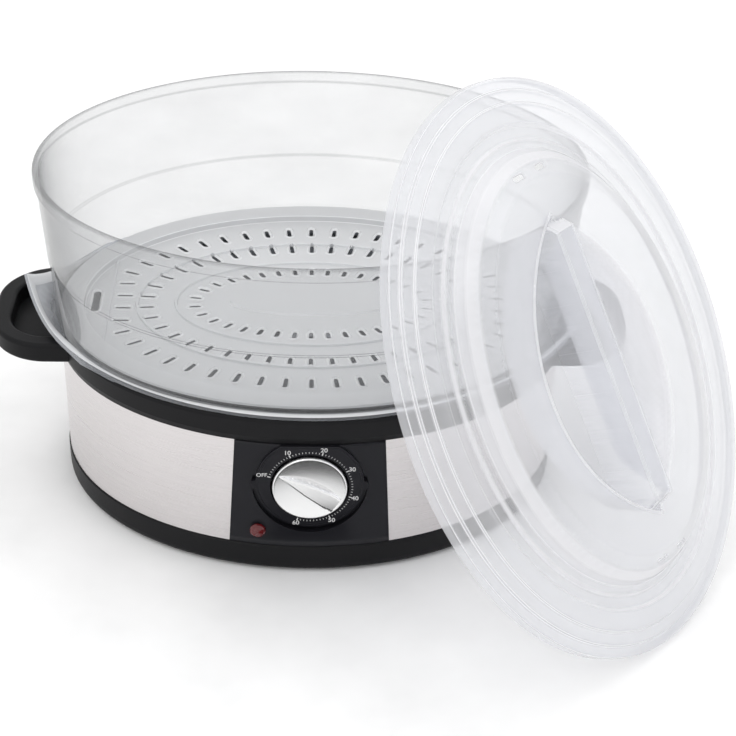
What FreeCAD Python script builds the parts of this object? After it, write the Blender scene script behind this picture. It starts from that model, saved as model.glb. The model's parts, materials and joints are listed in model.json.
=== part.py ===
import FreeCAD, Part

import math
import os
import re

import Sketcher

# Electric food steamer, millimetres, +Z up.
# Origin: the middle of the base on the plane of its feet. +X is the long side, -Y is the front.

Vec = FreeCAD.Vector
Turn = FreeCAD.Rotation
X_AXIS, Y_AXIS, Z_AXIS = Vec(1, 0, 0), Vec(0, 1, 0), Vec(0, 0, 1)

# ---------------------------------------------------------------- driving sizes
SIZES = {
    # base casing
    "base_half_x": 150.0, "base_half_y": 119.0,
    "foot_show": 2.0, "foot_radius": 8.0, "foot_in_x": 75.0, "foot_in_y": 35.0,
    "ring_top": 19.0, "casing_wall": 2.4, "casing_ledge": 7.0, "part_gap": 0.4, "seat_gap": 0.25,
    "band_height": 72.0, "band_thick": 0.7, "band_inset": 0.7, "band_back": 0.9, "plate_thick": 2.5,
    # water tank and rim
    "rim_height": 15.8, "rim_flare": 1.2, "rim_width": 11.0, "tank_wall": 2.2,
    "timer_room": 43.0, "tank_end_room": 24.0, "tank_floor_z": 38.0, "tank_taper": 7.0,
    "ledge_drop": 13.4,
    # handles
    "handle_reach": 38.0, "handle_half": 45.0, "handle_thick": 12.4, "handle_width": 11.0,
    "handle_corner": 34.0, "handle_round": 2.4, "handle_web": 2.6, "screw_radius": 1.6, "screw_head": 3.2,
    # control panel, dial, timer
    "panel_half_top": 41.5, "panel_half_low": 45.6, "panel_proud": 1.0, "panel_thick": 3.0,
    "dial_z": 63.6, "groove_radius": 32.4, "dial_radius": 30.1, "dial_proud": 1.4, "dial_face": 0.6,
    "knob_radius": 21.15, "knob_depth": 11.0, "knob_sink": 8.5, "knob_gap": 0.9, "shaft_radius": 3.0,
    "well_gap": 0.9, "well_wall": 2.0, "shaft_clear": 0.05, "hole_clear": 0.5, "grip_width": 12.0,
    "grip_turn": 163.0,
    "timer_width": 42.0, "timer_depth": 20.0, "bush_radius": 5.0, "bush_length": 1.9, "bracket_reach": 29.5,
    "bracket_thick": 1.2, "bell_radius": 15.0, "bell_depth": 6.0,
    "lamp_x": -29.3, "lamp_z": 31.6, "lamp_radius": 4.5,
    # heating element and collar
    "tube_radius": 4.0, "collar_gap": 6.0, "collar_wall": 2.0, "collar_height": 44.0,
    "element_gap": 0.6, "element_lift": 11.0, "leg_angle": 16.0, "seal_flange": 2.4,
    # drip tray
    "ear_reach": 18.0, "ear_rise": 21.4, "flange_over": 1.2, "sheet": 1.8, "basin_gap": 1.6,
    "basin_depth": 9.6, "vent_half_x": 46.0, "vent_half_y": 30.0, "vent_height": 4.7,
    # basket
    "bowl_in_x": 1.4, "bowl_in_y": 1.6, "bowl_flare": 5.0, "bowl_height": 95.0,
    "bowl_wall": 2.0, "lip_height": 7.8, "lip_proud": 1.7, "step_z": 38.5, "step_proud": 0.9,
    "bowl_ledge": 14.5, "floor_drop": 2.2, "slot_long": 11.5, "slot_wide": 4.0,
    "floor_edge": 11.0, "chord_in": 17.0, "medallion_half": 14.9,
    # lid
    "lid_over": 3.3, "lid_wall": 2.0, "lid_lip": 4.5, "dome_rise": 23.0, "dome_in": 39.0,
    "scoop_half_long": 86.0, "scoop_half_wide": 48.0, "bar_width": 17.0, "bar_rise": 29.0,
    "lean_turn": 42.6, "lean_rise": 30.7, "lean_roll": -0.5, "lean_side": 10.3, "lean_nest": 0.45,
}

doc = FreeCAD.newDocument("FoodSteamer")
sheet = doc.addObject("Spreadsheet::Sheet", "Sizes")
for row, (alias, size) in enumerate(SIZES.items(), start=1):
    sheet.set(f"A{row}", alias)
    sheet.set(f"B{row}", str(size))
    sheet.setAlias(f"B{row}", alias)
doc.recompute()

ALIAS = re.compile(r"\b(" + "|".join(sorted(SIZES, key=len, reverse=True)) + r")\b")

# Heights and outlines that several pieces share.
BAND_LOW = "(ring_top + part_gap)"
BAND_TOP = "(ring_top + part_gap + band_height)"
RIM_LOW = f"({BAND_TOP} + part_gap)"
RIM_TOP = f"({RIM_LOW} + rim_height)"
LEDGE_Z = f"({RIM_TOP} - ledge_drop)"
HANDLE_SCREW_Z = f"({RIM_TOP} - 0.6 - handle_thick / 2)"
CASING_X = "(base_half_x - band_inset - band_thick - band_back)"
CASING_Y = "(base_half_y - band_inset - band_thick - band_back)"
BASIN_X = "(base_half_x + rim_flare - rim_width)"
BASIN_Y = "(base_half_y + rim_flare - rim_width)"
TUB_X = "(base_half_x - tank_end_room)"
TUB_Y = "(base_half_y - timer_room)"
TANK_TOP = "(tank_floor_z + tank_wall)"
PANEL_X = "(base_half_x + panel_proud)"
PANEL_Y = "(base_half_y + panel_proud)"
DIAL_Y = "(-base_half_y - dial_proud)"
DISC_Z = "(dial_z + groove_radius - dial_radius)"
WELL = "(knob_radius + well_gap)"
WELL_BACK = f"({DIAL_Y} + knob_sink + well_wall)"
BACKING_Y = f"(-{CASING_Y} + casing_wall)"
COLLAR = "(base_half_y - timer_room - tank_taper - collar_gap)"
ELEMENT = f"({COLLAR} - collar_wall - element_gap - seal_flange - tube_radius)"
ELEMENT_Z = f"({TANK_TOP} + element_lift)"
TRAY_Z = f"({RIM_TOP} + seat_gap)"
TRAY_TOP = f"({TRAY_Z} + sheet)"
BOWL_Z = f"({TRAY_TOP} + seat_gap)"
BOWL_X = "(base_half_x + bowl_in_x)"
BOWL_Y = "(base_half_y - bowl_in_y)"
BOWL_TOP = f"({BOWL_Z} + bowl_height)"
BOWL_RIM_X = f"({BOWL_X} + bowl_flare + lip_proud)"
BOWL_RIM_Y = f"({BOWL_Y} + bowl_flare + lip_proud)"
FLOOR_X = f"({BOWL_X} - bowl_ledge)"
FLOOR_Y = f"({BOWL_Y} - bowl_ledge)"
FLOOR_Z = f"({BOWL_Z} - floor_drop + sheet)"
LID_X = f"({BOWL_RIM_X} + lid_over)"
LID_Y = f"({BOWL_RIM_Y} + lid_over)"


# ---------------------------------------------------------------- helpers
def num(expression):
    """Value of an expression over the sheet's aliases."""
    return float(sheet.evalExpression(str(expression)))


def bind(obj, prop, expression):
    obj.setExpression(prop, ALIAS.sub(r"Sizes.\1", str(expression)))


def place(obj, x="0", y="0", z="0", rotation=None):
    if rotation is not None:
        obj.Placement = FreeCAD.Placement(Vec(), rotation)
    for axis, expression in zip("xyz", (x, y, z)):
        bind(obj, f"Placement.Base.{axis}", expression)
    return obj


def add(kind, name, **sizes):
    obj = doc.addObject(kind, name)
    for prop, expression in sizes.items():
        bind(obj, prop, expression)
    return obj


def oval(name, half_x, half_y, z):
    edge = add("Part::Ellipse", name, MajorRadius=half_x, MinorRadius=half_y)
    return place(edge, z=z)


def oval_stack(name, sections):
    """Solid through level ovals, each (half x, half y, z), joined by straight walls."""
    loft = doc.addObject("Part::Loft", name)
    loft.Sections = [oval(f"{name}_oval_{index}", *section) for index, section in enumerate(sections)]
    loft.Solid = True
    loft.Ruled = True
    return loft


def oval_prism(name, half_x, half_y, z_low, z_high):
    """Upright oval column between two heights."""
    prism = doc.addObject("Part::Extrusion", name)
    prism.Base = oval(f"{name}_oval", half_x, half_y, z_low)
    prism.DirMode = "Custom"
    prism.Dir = Z_AXIS
    prism.Solid = True
    bind(prism, "LengthFwd", f"{z_high} - ({z_low})")
    return prism


def inset_stack(name, half_x, half_y, steps):
    """Oval stack from steps of (inset, z), each inset taken off both half sizes."""
    return oval_stack(name, [(f"{half_x} - ({inset})", f"{half_y} - ({inset})", z) for inset, z in steps])


def cylinder(name, radius, height, x="0", y="0", z="0", rotation=None):
    return place(add("Part::Cylinder", name, Radius=radius, Height=height), x, y, z, rotation)


def block(name, size_x, size_y, size_z, x="0", y="0", z="0"):
    """Box centred on x and y, standing on z."""
    box = add("Part::Box", name, Length=size_x, Width=size_y, Height=size_z)
    return place(box, f"{x} - ({size_x}) / 2", f"{y} - ({size_y}) / 2", z)


def cut(name, base, *tools):
    result = doc.addObject("Part::Cut", name)
    result.Base = base
    result.Tool = tools[0] if len(tools) == 1 else fuse(name + "_tools", *tools)
    return result


def fuse(name, *shapes):
    result = doc.addObject("Part::MultiFuse", name)
    result.Shapes = list(shapes)
    return result


def common(name, *shapes):
    result = doc.addObject("Part::MultiCommon", name)
    result.Shapes = list(shapes)
    return result


def fillet(name, base, radius, picks):
    """Round the edges of base whose index picks(edge) accepts."""
    doc.recompute()
    result = doc.addObject("Part::Fillet", name)
    result.Base = base
    size = num(radius)
    result.Edges = [(index, size, size) for index, edge in enumerate(base.Shape.Edges, start=1) if picks(edge)]
    return result


def body_sketch(body, name, plane):
    sketch = body.newObject("Sketcher::SketchObject", name)
    origin = [part for part in body.Origin.OriginFeatures if part.Role == plane][0]
    sketch.AttachmentSupport = [(origin, "")]
    sketch.MapMode = "FlatFace"
    return sketch


def outline(body, name, plane, points):
    """Closed straight-sided sketch whose corners are (x, y) expressions."""
    sketch = body_sketch(body, name, plane)
    corners = [(num(x), num(y)) for x, y in points]
    count = len(points)
    for index in range(count):
        start, end = corners[index], corners[(index + 1) % count]
        sketch.addGeometry(Part.LineSegment(Vec(*start, 0), Vec(*end, 0)), False)
    for index in range(count):
        sketch.addConstraint(Sketcher.Constraint("Coincident", index, 2, (index + 1) % count, 1))
    for index, point in enumerate(points):
        for kind, expression, value in zip(("DistanceX", "DistanceY"), point, corners[index]):
            label = f"corner_{index}_{kind[-1]}"
            constraint = sketch.addConstraint(Sketcher.Constraint(kind, index, 1, value))
            sketch.renameConstraint(constraint, label)
            bind(sketch, f"Constraints.{label}", expression)
    return sketch


def rings(body, name, plane, circles):
    """Sketch of circles, each (x, y, radius) as expressions."""
    sketch = body_sketch(body, name, plane)
    for index, (x, y, radius) in enumerate(circles):
        sketch.addGeometry(Part.Circle(Vec(num(x), num(y), 0), Vec(0, 0, 1), num(radius)), False)
        for kind, expression, args in (("DistanceX", x, (index, 3)), ("DistanceY", y, (index, 3)),
                                       ("Radius", radius, (index,))):
            label = f"circle_{index}_{kind}"
            constraint = sketch.addConstraint(Sketcher.Constraint(kind, *args, num(expression)))
            sketch.renameConstraint(constraint, label)
            bind(sketch, f"Constraints.{label}", expression)
    return sketch


def feature(body, kind, name, sketch, **sizes):
    step = body.newObject(f"PartDesign::{kind}", name)
    step.Profile = sketch
    for prop, expression in sizes.items():
        bind(step, prop, expression)
    return step


def turned(body, name, points, axis="V_Axis"):
    """Solid of revolution about the sketch's vertical axis, from (radius, height) corners."""
    sketch = outline(body, name + "_profile", "XZ_Plane", points)
    step = body.newObject("PartDesign::Revolution", name)
    step.Profile = sketch
    step.ReferenceAxis = (sketch, [axis])
    step.Angle = 360
    return step


def new_body(name):
    return doc.addObject("PartDesign::Body", name)


def shape_feature(name, shape):
    result = doc.addObject("Part::Feature", name)
    result.Shape = shape
    return result


def oval_stations(half_x, half_y, pitch):
    """Angles that divide an oval into equal lengths of about pitch, symmetrical front to back."""
    samples = 1440
    lengths = [0.0]
    for index in range(samples):
        angle = 2 * math.pi * (index + 0.5) / samples
        speed = math.hypot(half_x * math.sin(angle), half_y * math.cos(angle))
        lengths.append(lengths[-1] + speed * 2 * math.pi / samples)
    count = 2 * round(lengths[-1] / pitch / 2)
    angles = []
    for step in range(count):
        goal = lengths[-1] * (step + 0.5) / count
        index = next(i for i, length in enumerate(lengths) if length >= goal)
        angles.append(2 * math.pi * index / samples)
    return angles


def slot_prism(x, y, angle, length, width, z_low, z_high):
    """Upright round-ended slot cutter, its long axis turned by angle from +X."""
    straight = length - width
    middle = Part.makeBox(straight, width, z_high - z_low, Vec(-straight / 2, -width / 2, 0))
    ends = [Part.makeCylinder(width / 2, z_high - z_low, Vec(side * straight / 2, 0, 0)) for side in (-1, 1)]
    slot = middle.fuse(ends).removeSplitter()
    slot.Placement = FreeCAD.Placement(Vec(x, y, z_low), Turn(Z_AXIS, math.degrees(angle)))
    return slot


NODES = {}


def node(name, obj):
    """Name a finished sub-part; its Label is the name of its file."""
    obj.Label = name
    NODES[name] = obj
    return obj


# ---------------------------------------------------------------- base casing
def lower_housing():
    """Black lower ring with the casing wall that the steel band wraps."""
    ring = inset_stack("housing_ring", "base_half_x", "base_half_y", [
        ("2.2", "foot_show"), ("0.8", "foot_show + 1.0"), ("0.2", "foot_show + 2.6"), ("0", "foot_show + 4.5"),
        ("0", "ring_top - 0.8"), ("0.8", "ring_top")])
    wall = oval_prism("housing_wall", CASING_X, CASING_Y, "ring_top - 2", f"{BAND_TOP} - part_gap")
    plate_room = inset_stack("housing_plate_room", "base_half_x", "base_half_y", [
        ("casing_wall + 2", "foot_show - 1"), ("casing_wall + 2", "foot_show + 1.5 + plate_thick")])
    lower_room = inset_stack("housing_lower_room", "base_half_x", "base_half_y", [
        ("casing_wall + casing_ledge", "foot_show"), ("casing_wall + casing_ledge", "foot_show + 8")])
    upper_room = oval_prism("housing_upper_room", f"{CASING_X} - casing_wall", f"{CASING_Y} - casing_wall",
                            "foot_show + 4 + plate_thick", RIM_LOW)
    window = block("housing_window", "2 * groove_radius + 4.2", "40",
                   f"dial_z + {WELL} + well_wall + 1 - ring_top - 3", y="-base_half_y", z="ring_top + 3")
    gland_hole = cylinder("housing_gland_hole", "6.2", "60", y="base_half_y - 30", z="ring_top + 9",
                          rotation=Turn(X_AXIS, -90))
    pilots = [cylinder(f"housing_pilot_{index}", "screw_radius", "10", x=x, y=y, z="foot_show + 1")
              for index, (x, y) in enumerate(bottom_screw_places())]
    bosses = [cylinder(f"housing_boss_{index}", "6", "4", x=x, y=y, z="foot_show + 1.6 + plate_thick")
              for index, (x, y) in enumerate(bottom_screw_places())]
    shell = cut("housing_shell", fuse("housing_outer", ring, wall), plate_room, lower_room, upper_room)
    with_bosses = fuse("housing_with_bosses", shell, *bosses)
    node("lower_housing", cut("LowerHousing", with_bosses, window, gland_hole, *pilots))


def bottom_screw_places():
    return [(f"{side_x} * (base_half_x - 50)", f"{side_y} * (base_half_y - 47)")
            for side_x in (-1, 1) for side_y in (-1, 1)]


def bottom_plate():
    """Flat underside with cooling slots, foot sockets and screw holes."""
    plate = inset_stack("plate_blank", "base_half_x", "base_half_y", [
        ("casing_wall + 2.4", "foot_show + 1.5"), ("casing_wall + 2.4", "foot_show + 1.5 + plate_thick")])
    holes = [cylinder(f"plate_hole_{index}", "screw_radius + 0.3", "plate_thick + 4", x=x, y=y, z="foot_show")
             for index, (x, y) in enumerate(bottom_screw_places())]
    sockets = [cylinder(f"plate_socket_{index}", "foot_radius / 2", "plate_thick + 4", x=x, y=y, z="foot_show")
               for index, (x, y) in enumerate(foot_places())]
    vents = shape_feature("plate_vents", Part.makeCompound([
        slot_prism(x, y, math.pi / 2, 24, 3, num("foot_show"), num("foot_show + plate_thick + 4"))
        for x in range(-48, 49, 8) for y in (-34, 34)]))
    node("bottom_plate", cut("BottomPlate", plate, *holes, *sockets, vents))


def foot_places():
    return [(f"{side_x} * (base_half_x - foot_in_x)", f"{side_y} * (base_half_y - foot_in_y)")
            for side_x in (-1, 1) for side_y in (-1, 1)]


def feet():
    """Four rubber feet, each with a stem plugged through the bottom plate."""
    pads = []
    for index, (x, y) in enumerate(foot_places()):
        pad = place(add("Part::Cone", f"foot_pad_{index}", Radius1="foot_radius - 0.8", Radius2="foot_radius",
                        Height="foot_show + 1.5"), x, y)
        stem = cylinder(f"foot_stem_{index}", "foot_radius / 2", "plate_thick + 2", x=x, y=y, z="foot_show + 1")
        pads.append(fuse(f"foot_{index}", pad, stem))
    node("feet", fuse("Feet", *pads))


def screw(name, x, y, z, rotation, length="8"):
    """Pan-head screw: head at its own z 0 to -2, shank pointing along its own +Z."""
    head = place(add("Part::Cone", name + "_head", Radius1="screw_head - 0.6", Radius2="screw_head", Height="1.8"),
                 z="-1.8")
    shank = cylinder(name + "_shank", "screw_radius", length)
    slot = block(name + "_slot", "0.8", "2 * screw_head - 2", "1", z="-2.2")
    return place(cut(name, fuse(name + "_blank", head, shank), slot), x, y, z, rotation)


def bottom_screws():
    screws = [screw(f"bottom_screw_{index}", x, y, "foot_show + 1.5", Turn(), "4 + plate_thick")
              for index, (x, y) in enumerate(bottom_screw_places())]
    node("bottom_screws", fuse("BottomScrews", *screws))


def steel_band():
    """Steel sheet round the base, open at the front for the control panel."""
    outer = oval_prism("band_outer", "base_half_x - band_inset", "base_half_y - band_inset", BAND_LOW, BAND_TOP)
    inner = oval_prism("band_inner", "base_half_x - band_inset - band_thick",
                       "base_half_y - band_inset - band_thick", f"{BAND_LOW} - 1", f"{BAND_TOP} + 1")
    gland_notch = block("band_gland_notch", "17", "40", "18.5", y="base_half_y", z="ring_top - 1")
    opening = panel_wedge("band_opening", "part_gap / 2")
    wrap = cut("band_wrap", outer, inner, gland_notch, opening)
    quarters = []
    for side_x in (-1, 1):
        for side_y in (-1, 1):
            corner = block(f"band_corner_{side_x}_{side_y}", "2 * base_half_x", "2 * base_half_y",
                           "2 * band_height", x=f"{side_x} * base_half_x", y=f"{side_y} * base_half_y")
            quarters.append(common(f"band_quarter_{side_x}_{side_y}", wrap, corner))
    joined = fuse("SteelBand", *quarters)
    joined.Refine = False
    node("steel_band", joined)


def panel_wedge(name, margin):
    """Front wedge in plan and in height, a little wider at its foot than at its top."""
    body = new_body(name)
    low, high = f"{BAND_LOW} - {margin}", f"{BAND_TOP} + {margin}"
    half_low, half_top = f"panel_half_low + {margin}", f"panel_half_top + {margin}"
    sketch = outline(body, name + "_face", "XZ_Plane", [
        (f"-({half_low})", low), (half_low, low), (half_top, high), (f"-({half_top})", high)])
    step = feature(body, "Pad", name + "_pad", sketch, Length="base_half_y * 2")
    doc.recompute()
    step.Reversed = step.Shape.BoundBox.YMax > 1
    return body


def water_tank():
    """Upper rim and water basin in one moulding: rim, shallow ledge, deep tub."""
    rim = inset_stack("tank_rim", "base_half_x", "base_half_y", [
        ("0", RIM_LOW), ("-rim_flare", f"{RIM_LOW} + 4"), ("-rim_flare", f"{RIM_TOP} - 2"),
        ("-rim_flare + 0.5", f"{RIM_TOP} - 0.8"), ("-rim_flare + 1.6", RIM_TOP)])
    rim_room = inset_stack("tank_rim_room", "base_half_x", "base_half_y", [
        ("2.6", f"{RIM_LOW} - 1"), ("2.6", f"{RIM_TOP} - tank_wall")])
    basin = inset_stack("tank_basin", BASIN_X, BASIN_Y, [
        ("-tank_wall", f"{LEDGE_Z} - tank_wall"), ("-tank_wall", f"{RIM_TOP} - 0.5")])
    basin_room = inset_stack("tank_basin_room", BASIN_X, BASIN_Y, [("0", LEDGE_Z), ("0", f"{RIM_TOP} + 1")])
    tub = inset_stack("tank_tub", TUB_X, TUB_Y, [
        ("tank_taper - tank_wall + 3", "tank_floor_z"), ("tank_taper - tank_wall", "tank_floor_z + 3"),
        ("-tank_wall", LEDGE_Z)])
    tub_room = inset_stack("tank_tub_room", TUB_X, TUB_Y, [
        ("tank_taper + 3", TANK_TOP), ("tank_taper", f"{TANK_TOP} + 3"), ("0", LEDGE_Z),
        ("0", f"{LEDGE_Z} + 1")])
    leg_holes = [cylinder(f"tank_leg_hole_{index}", "tube_radius + 1.2", "tank_wall + 4", x=x, y=y,
                          z="tank_floor_z - 2") for index, (x, y) in enumerate(leg_places())]
    screw_holes = [cylinder(f"tank_screw_hole_{side}_{index}", "screw_radius", "8",
                            x=f"{side} * ({handle_root_x()} - 6)", y=y, z=HANDLE_SCREW_Z,
                            rotation=Turn(Y_AXIS, 90 * side))
                   for side in (-1, 1) for index, y in enumerate(handle_screw_y())]
    ring = cut("tank_ring", rim, rim_room, *screw_holes)
    casing = fuse("tank_casing", ring, basin, tub)
    node("water_tank", cut("WaterTank", casing, basin_room, tub_room, *leg_holes))


# ---------------------------------------------------------------- handles
def handle(side):
    """D-shaped grip with a finger recess in its top: side is -1 for left and 1 for right."""
    name = "left" if side < 0 else "right"
    length = "handle_reach + 30"
    middle = f"{side} * (base_half_x + handle_reach - ({length}) / 2)"
    bottom = f"{RIM_TOP} - 0.6 - handle_thick"

    def far_upright(edge):
        ends = [vertex.Point for vertex in edge.Vertexes]
        upright = abs(ends[0].x - ends[-1].x) < 1e-6 and abs(ends[0].y - ends[-1].y) < 1e-6
        return upright and side * ends[0].x > num("base_half_x")

    blank = block(f"{name}_blank", length, "2 * handle_half", "handle_thick", x=middle, z=bottom)
    loop = fillet(f"{name}_loop", blank, "handle_corner", far_upright)
    hole_blank = block(f"{name}_hole_blank", length, "2 * (handle_half - handle_width)", "handle_thick + 4",
                       x=f"{middle} - {side} * handle_width", z=f"{bottom} - 2")
    hole = fillet(f"{name}_hole", hole_blank, "handle_corner - handle_width", far_upright)
    ring = cut(f"{name}_ring", loop, hole)

    def level_rim(edge):
        level = edge.BoundBox.ZLength < 1e-6
        reach = max(abs(edge.BoundBox.XMin), abs(edge.BoundBox.XMax))
        return level and reach > num("base_half_x - 20") and edge.BoundBox.XLength > 1e-6 or (
            level and reach > num("base_half_x"))

    soft = fillet(f"{name}_soft", ring, "handle_round", level_rim)
    web_blank = block(f"{name}_web_blank", length, "2 * (handle_half - handle_width + handle_web)", "handle_web",
                      x=f"{middle} - {side} * (handle_width - handle_web)", z=bottom)
    web = fillet(f"{name}_web", web_blank, "handle_corner - handle_width + handle_web", far_upright)
    grip = fuse(f"{name}_grip", soft, web)
    casing_space = oval_prism(f"{name}_casing_space", "base_half_x + rim_flare + 0.05",
                              "base_half_y + rim_flare + 0.05", f"{bottom} - 5", f"{RIM_TOP} + 5")
    pilots = [cylinder(f"{name}_pilot_{index}", "screw_radius", "9", x=f"{side} * ({handle_root_x()} - 2)", y=y,
                       z=HANDLE_SCREW_Z, rotation=Turn(Y_AXIS, 90 * side))
              for index, y in enumerate(handle_screw_y())]
    node(f"{name}_handle", cut(f"{name.capitalize()}Handle", grip, casing_space, *pilots))


def handle_screw_y():
    return ("-handle_half + handle_width / 2", "handle_half - handle_width / 2")


def handle_root_x():
    """Distance of the rim's outer wall from the middle, at the handles' screws."""
    run = "((handle_half - handle_width / 2) / (base_half_y + rim_flare))"
    return f"(base_half_x + rim_flare) * sqrt(1 - {run} * {run})"


def handle_screws():
    """Four screws driven outward from the hollow of the rim into the handles."""
    screws = [screw(f"handle_screw_{side}_{index}", f"{side} * ({handle_root_x()} - 5.8)", y, HANDLE_SCREW_Z,
                    Turn(Y_AXIS, 90 * side), "11.6")
              for side in (-1, 1) for index, y in enumerate(handle_screw_y())]
    node("handle_screws", fuse("HandleScrews", *screws))


# ---------------------------------------------------------------- control panel, dial and timer
FACE_OUT = Turn(X_AXIS, 90)


def facing(name, radius, front, back, x="0", z="dial_z"):
    """Cylinder lying front to back, from y front to y back."""
    return cylinder(name, radius, f"{back} - ({front})", x=x, y=back, z=z, rotation=FACE_OUT)


def lower_part(name, shape, height):
    """The part of a dial shape that lies below the dial's middle plus height."""
    keep = block(name + "_keep", "4 * groove_radius", "60", "2 * groove_radius", y="-base_half_y",
                 z=f"dial_z + {height} - 2 * groove_radius")
    return common(name, shape, keep)


def control_panel():
    """Curved front panel: flat dial disc, crescent groove under it, and a round well for the knob."""
    skin_outer = inset_stack("panel_outer", PANEL_X, PANEL_Y, [
        ("1.6", BAND_LOW), ("0.2", f"{BAND_LOW} + 4"), ("0", f"{BAND_LOW} + 5"), ("0", f"{BAND_TOP} - 0.8"),
        ("0.8", BAND_TOP)])
    skin_inner = inset_stack("panel_inner", CASING_X, CASING_Y, [
        ("-0.2", f"{BAND_LOW} - 1"), ("-0.2", f"{BAND_TOP} + 1")])
    front_skin = common("panel_front_skin", cut("panel_skin", skin_outer, skin_inner),
                        panel_wedge("panel_outline", "0"))
    disc = common("panel_low_disc", facing("panel_disc", "dial_radius", DIAL_Y, f"-{CASING_Y} - 0.4", z=DISC_Z),
                  panel_wedge("panel_disc_outline", "0"))
    backing = lower_part("panel_backing", facing("panel_backing_disc", "groove_radius + 1.6",
                                                 f"-{CASING_Y} + 0.2", BACKING_Y), "8")
    groove = lower_part("panel_groove", cut(
        "panel_groove_ring", facing("panel_groove_disc", "groove_radius", f"{DIAL_Y} - 10", f"{BACKING_Y} - 1.4"),
        facing("panel_groove_core", "dial_radius", f"{DIAL_Y} - 11", BACKING_Y, z=DISC_Z)), "6")
    hollow = facing("panel_hollow", "dial_radius - panel_thick", f"{DIAL_Y} + panel_thick", f"{BACKING_Y} + 5")
    bosses = [facing(f"panel_boss_{index}", "screw_radius + 1.8", f"{DIAL_Y} + panel_thick / 2",
                     f"{timer_front()} - bracket_thick", x=x) for index, x in enumerate(timer_screw_x())]
    pilots = [facing(f"panel_pilot_{index}", "screw_radius", f"{timer_front()} - 6", timer_front(), x=x)
              for index, x in enumerate(timer_screw_x())]
    cup = facing("panel_cup", f"{WELL} + well_wall", f"{DIAL_Y} + 1", WELL_BACK)
    well = facing("panel_well", WELL, f"{DIAL_Y} - 10", f"{DIAL_Y} + knob_sink")
    shell = cut("panel_shell", fuse("panel_blank", front_skin, disc, backing), hollow, groove)
    shaft_hole = facing("panel_shaft_hole", "bush_radius + hole_clear", f"{DIAL_Y} - 10", f"{WELL_BACK} + 5")
    seat = common("panel_seat_cut", facing("panel_print_seat", "dial_radius - 1", f"{DIAL_Y} - 10",
                                           f"{DIAL_Y} + dial_face", z=DISC_Z),
                  panel_wedge("panel_seat_outline", "-1"))
    lens_hole = facing("panel_lens_hole", "lamp_radius - 0.9", f"{DIAL_Y} - 10", "-base_half_y + 20", x="lamp_x",
                       z="lamp_z")
    node("control_panel", cut("ControlPanel", fuse("panel_whole", shell, cup, *bosses), well, shaft_hole, seat,
                              lens_hole, *pilots))


def dial_plate():
    """Thin printed plate set into the dial disc, open round the knob's well."""
    disc = facing("dial_disc", "dial_radius - 1.15", DIAL_Y, f"{DIAL_Y} + dial_face", z=DISC_Z)
    trimmed = common("dial_trimmed", disc, panel_wedge("dial_outline", "-1.15"))
    hole = facing("dial_hole", WELL, f"{DIAL_Y} - 5", f"{DIAL_Y} + 5")
    node("dial_plate", cut("DialPlate", trimmed, hole))


def lamp_front_y():
    """Panel surface in front of the lamp."""
    return f"(-{PANEL_Y} * sqrt(1 - (lamp_x / {PANEL_X}) * (lamp_x / {PANEL_X})))"


def pilot_lamp():
    """Red lens with a domed head and a stem, and the lamp body behind it."""
    body = new_body("PilotLens")
    turned(body, "lens_turn", [
        ("0", "-6"), ("lamp_radius - 1", "-6"), ("lamp_radius - 1", "0.9"), ("lamp_radius", "0.9"),
        ("lamp_radius", "1.6"), ("lamp_radius * 0.92", "2.4"), ("lamp_radius * 0.72", "3.1"),
        ("lamp_radius * 0.4", "3.6"), ("0", "3.8")])
    place(body, "lamp_x", lamp_front_y(), "lamp_z", FACE_OUT)
    node("pilot_lens", body)
    tube = cylinder("lamp_tube", "lamp_radius - 1.6", "14", x="lamp_x", y=f"{lamp_front_y()} + 20.1", z="lamp_z",
                    rotation=FACE_OUT)
    tail = cylinder("lamp_tail", "lamp_radius - 2.4", "5", x="lamp_x", y=f"{lamp_front_y()} + 24.1", z="lamp_z",
                    rotation=FACE_OUT)
    node("pilot_lamp", fuse("PilotLamp", tube, tail))


def timer_front():
    """Front face of the timer case."""
    return f"({WELL_BACK} + bush_length)"


def timer():
    """Clockwork timer: case with a bush, bell, bracket, two screws, and the turning shaft."""
    front = timer_front()
    back = f"({front} + timer_depth)"
    case = block("timer_block", "timer_width", "timer_depth", "timer_width", y=f"{front} + timer_depth / 2",
                 z="dial_z - timer_width / 2")
    bush = facing("timer_bush", "bush_radius", f"{front} - bush_length - well_wall", f"{front} + 2")
    bore = facing("timer_bore", "shaft_radius + shaft_clear", f"{front} - bush_length - well_wall - 2",
                  f"{front} + 10")
    node("timer_case", cut("TimerCase", fuse("timer_blank", case, bush), bore))
    bell = facing("bell_cup", "bell_radius", back, f"{back} + bell_depth")
    bell_room = facing("bell_room", "bell_radius - 1", f"{back} + 1", f"{back} + bell_depth")
    node("timer_bell", cut("TimerBell", bell, bell_room))
    strap = block("bracket_strap", "2 * bracket_reach + 8", "bracket_thick", "18", y=f"{front} - bracket_thick / 2",
                  z="dial_z - 9")
    bracket_hole = facing("bracket_hole", "bush_radius + 0.2", f"{front} - 5", f"{front} + 3")
    screw_holes = [facing(f"bracket_screw_hole_{index}", "screw_radius + 0.1", f"{front} - 5", f"{front} + 3", x=x)
                   for index, x in enumerate(timer_screw_x())]
    node("timer_bracket", cut("TimerBracket", strap, bracket_hole, *screw_holes))
    screws = [screw(f"timer_screw_{index}", x, front, "dial_z", FACE_OUT, "bracket_thick + 4")
              for index, x in enumerate(timer_screw_x())]
    node("timer_screws", fuse("TimerScrews", *screws))


def timer_screw_x():
    return ("-bracket_reach", "bracket_reach")


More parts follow.
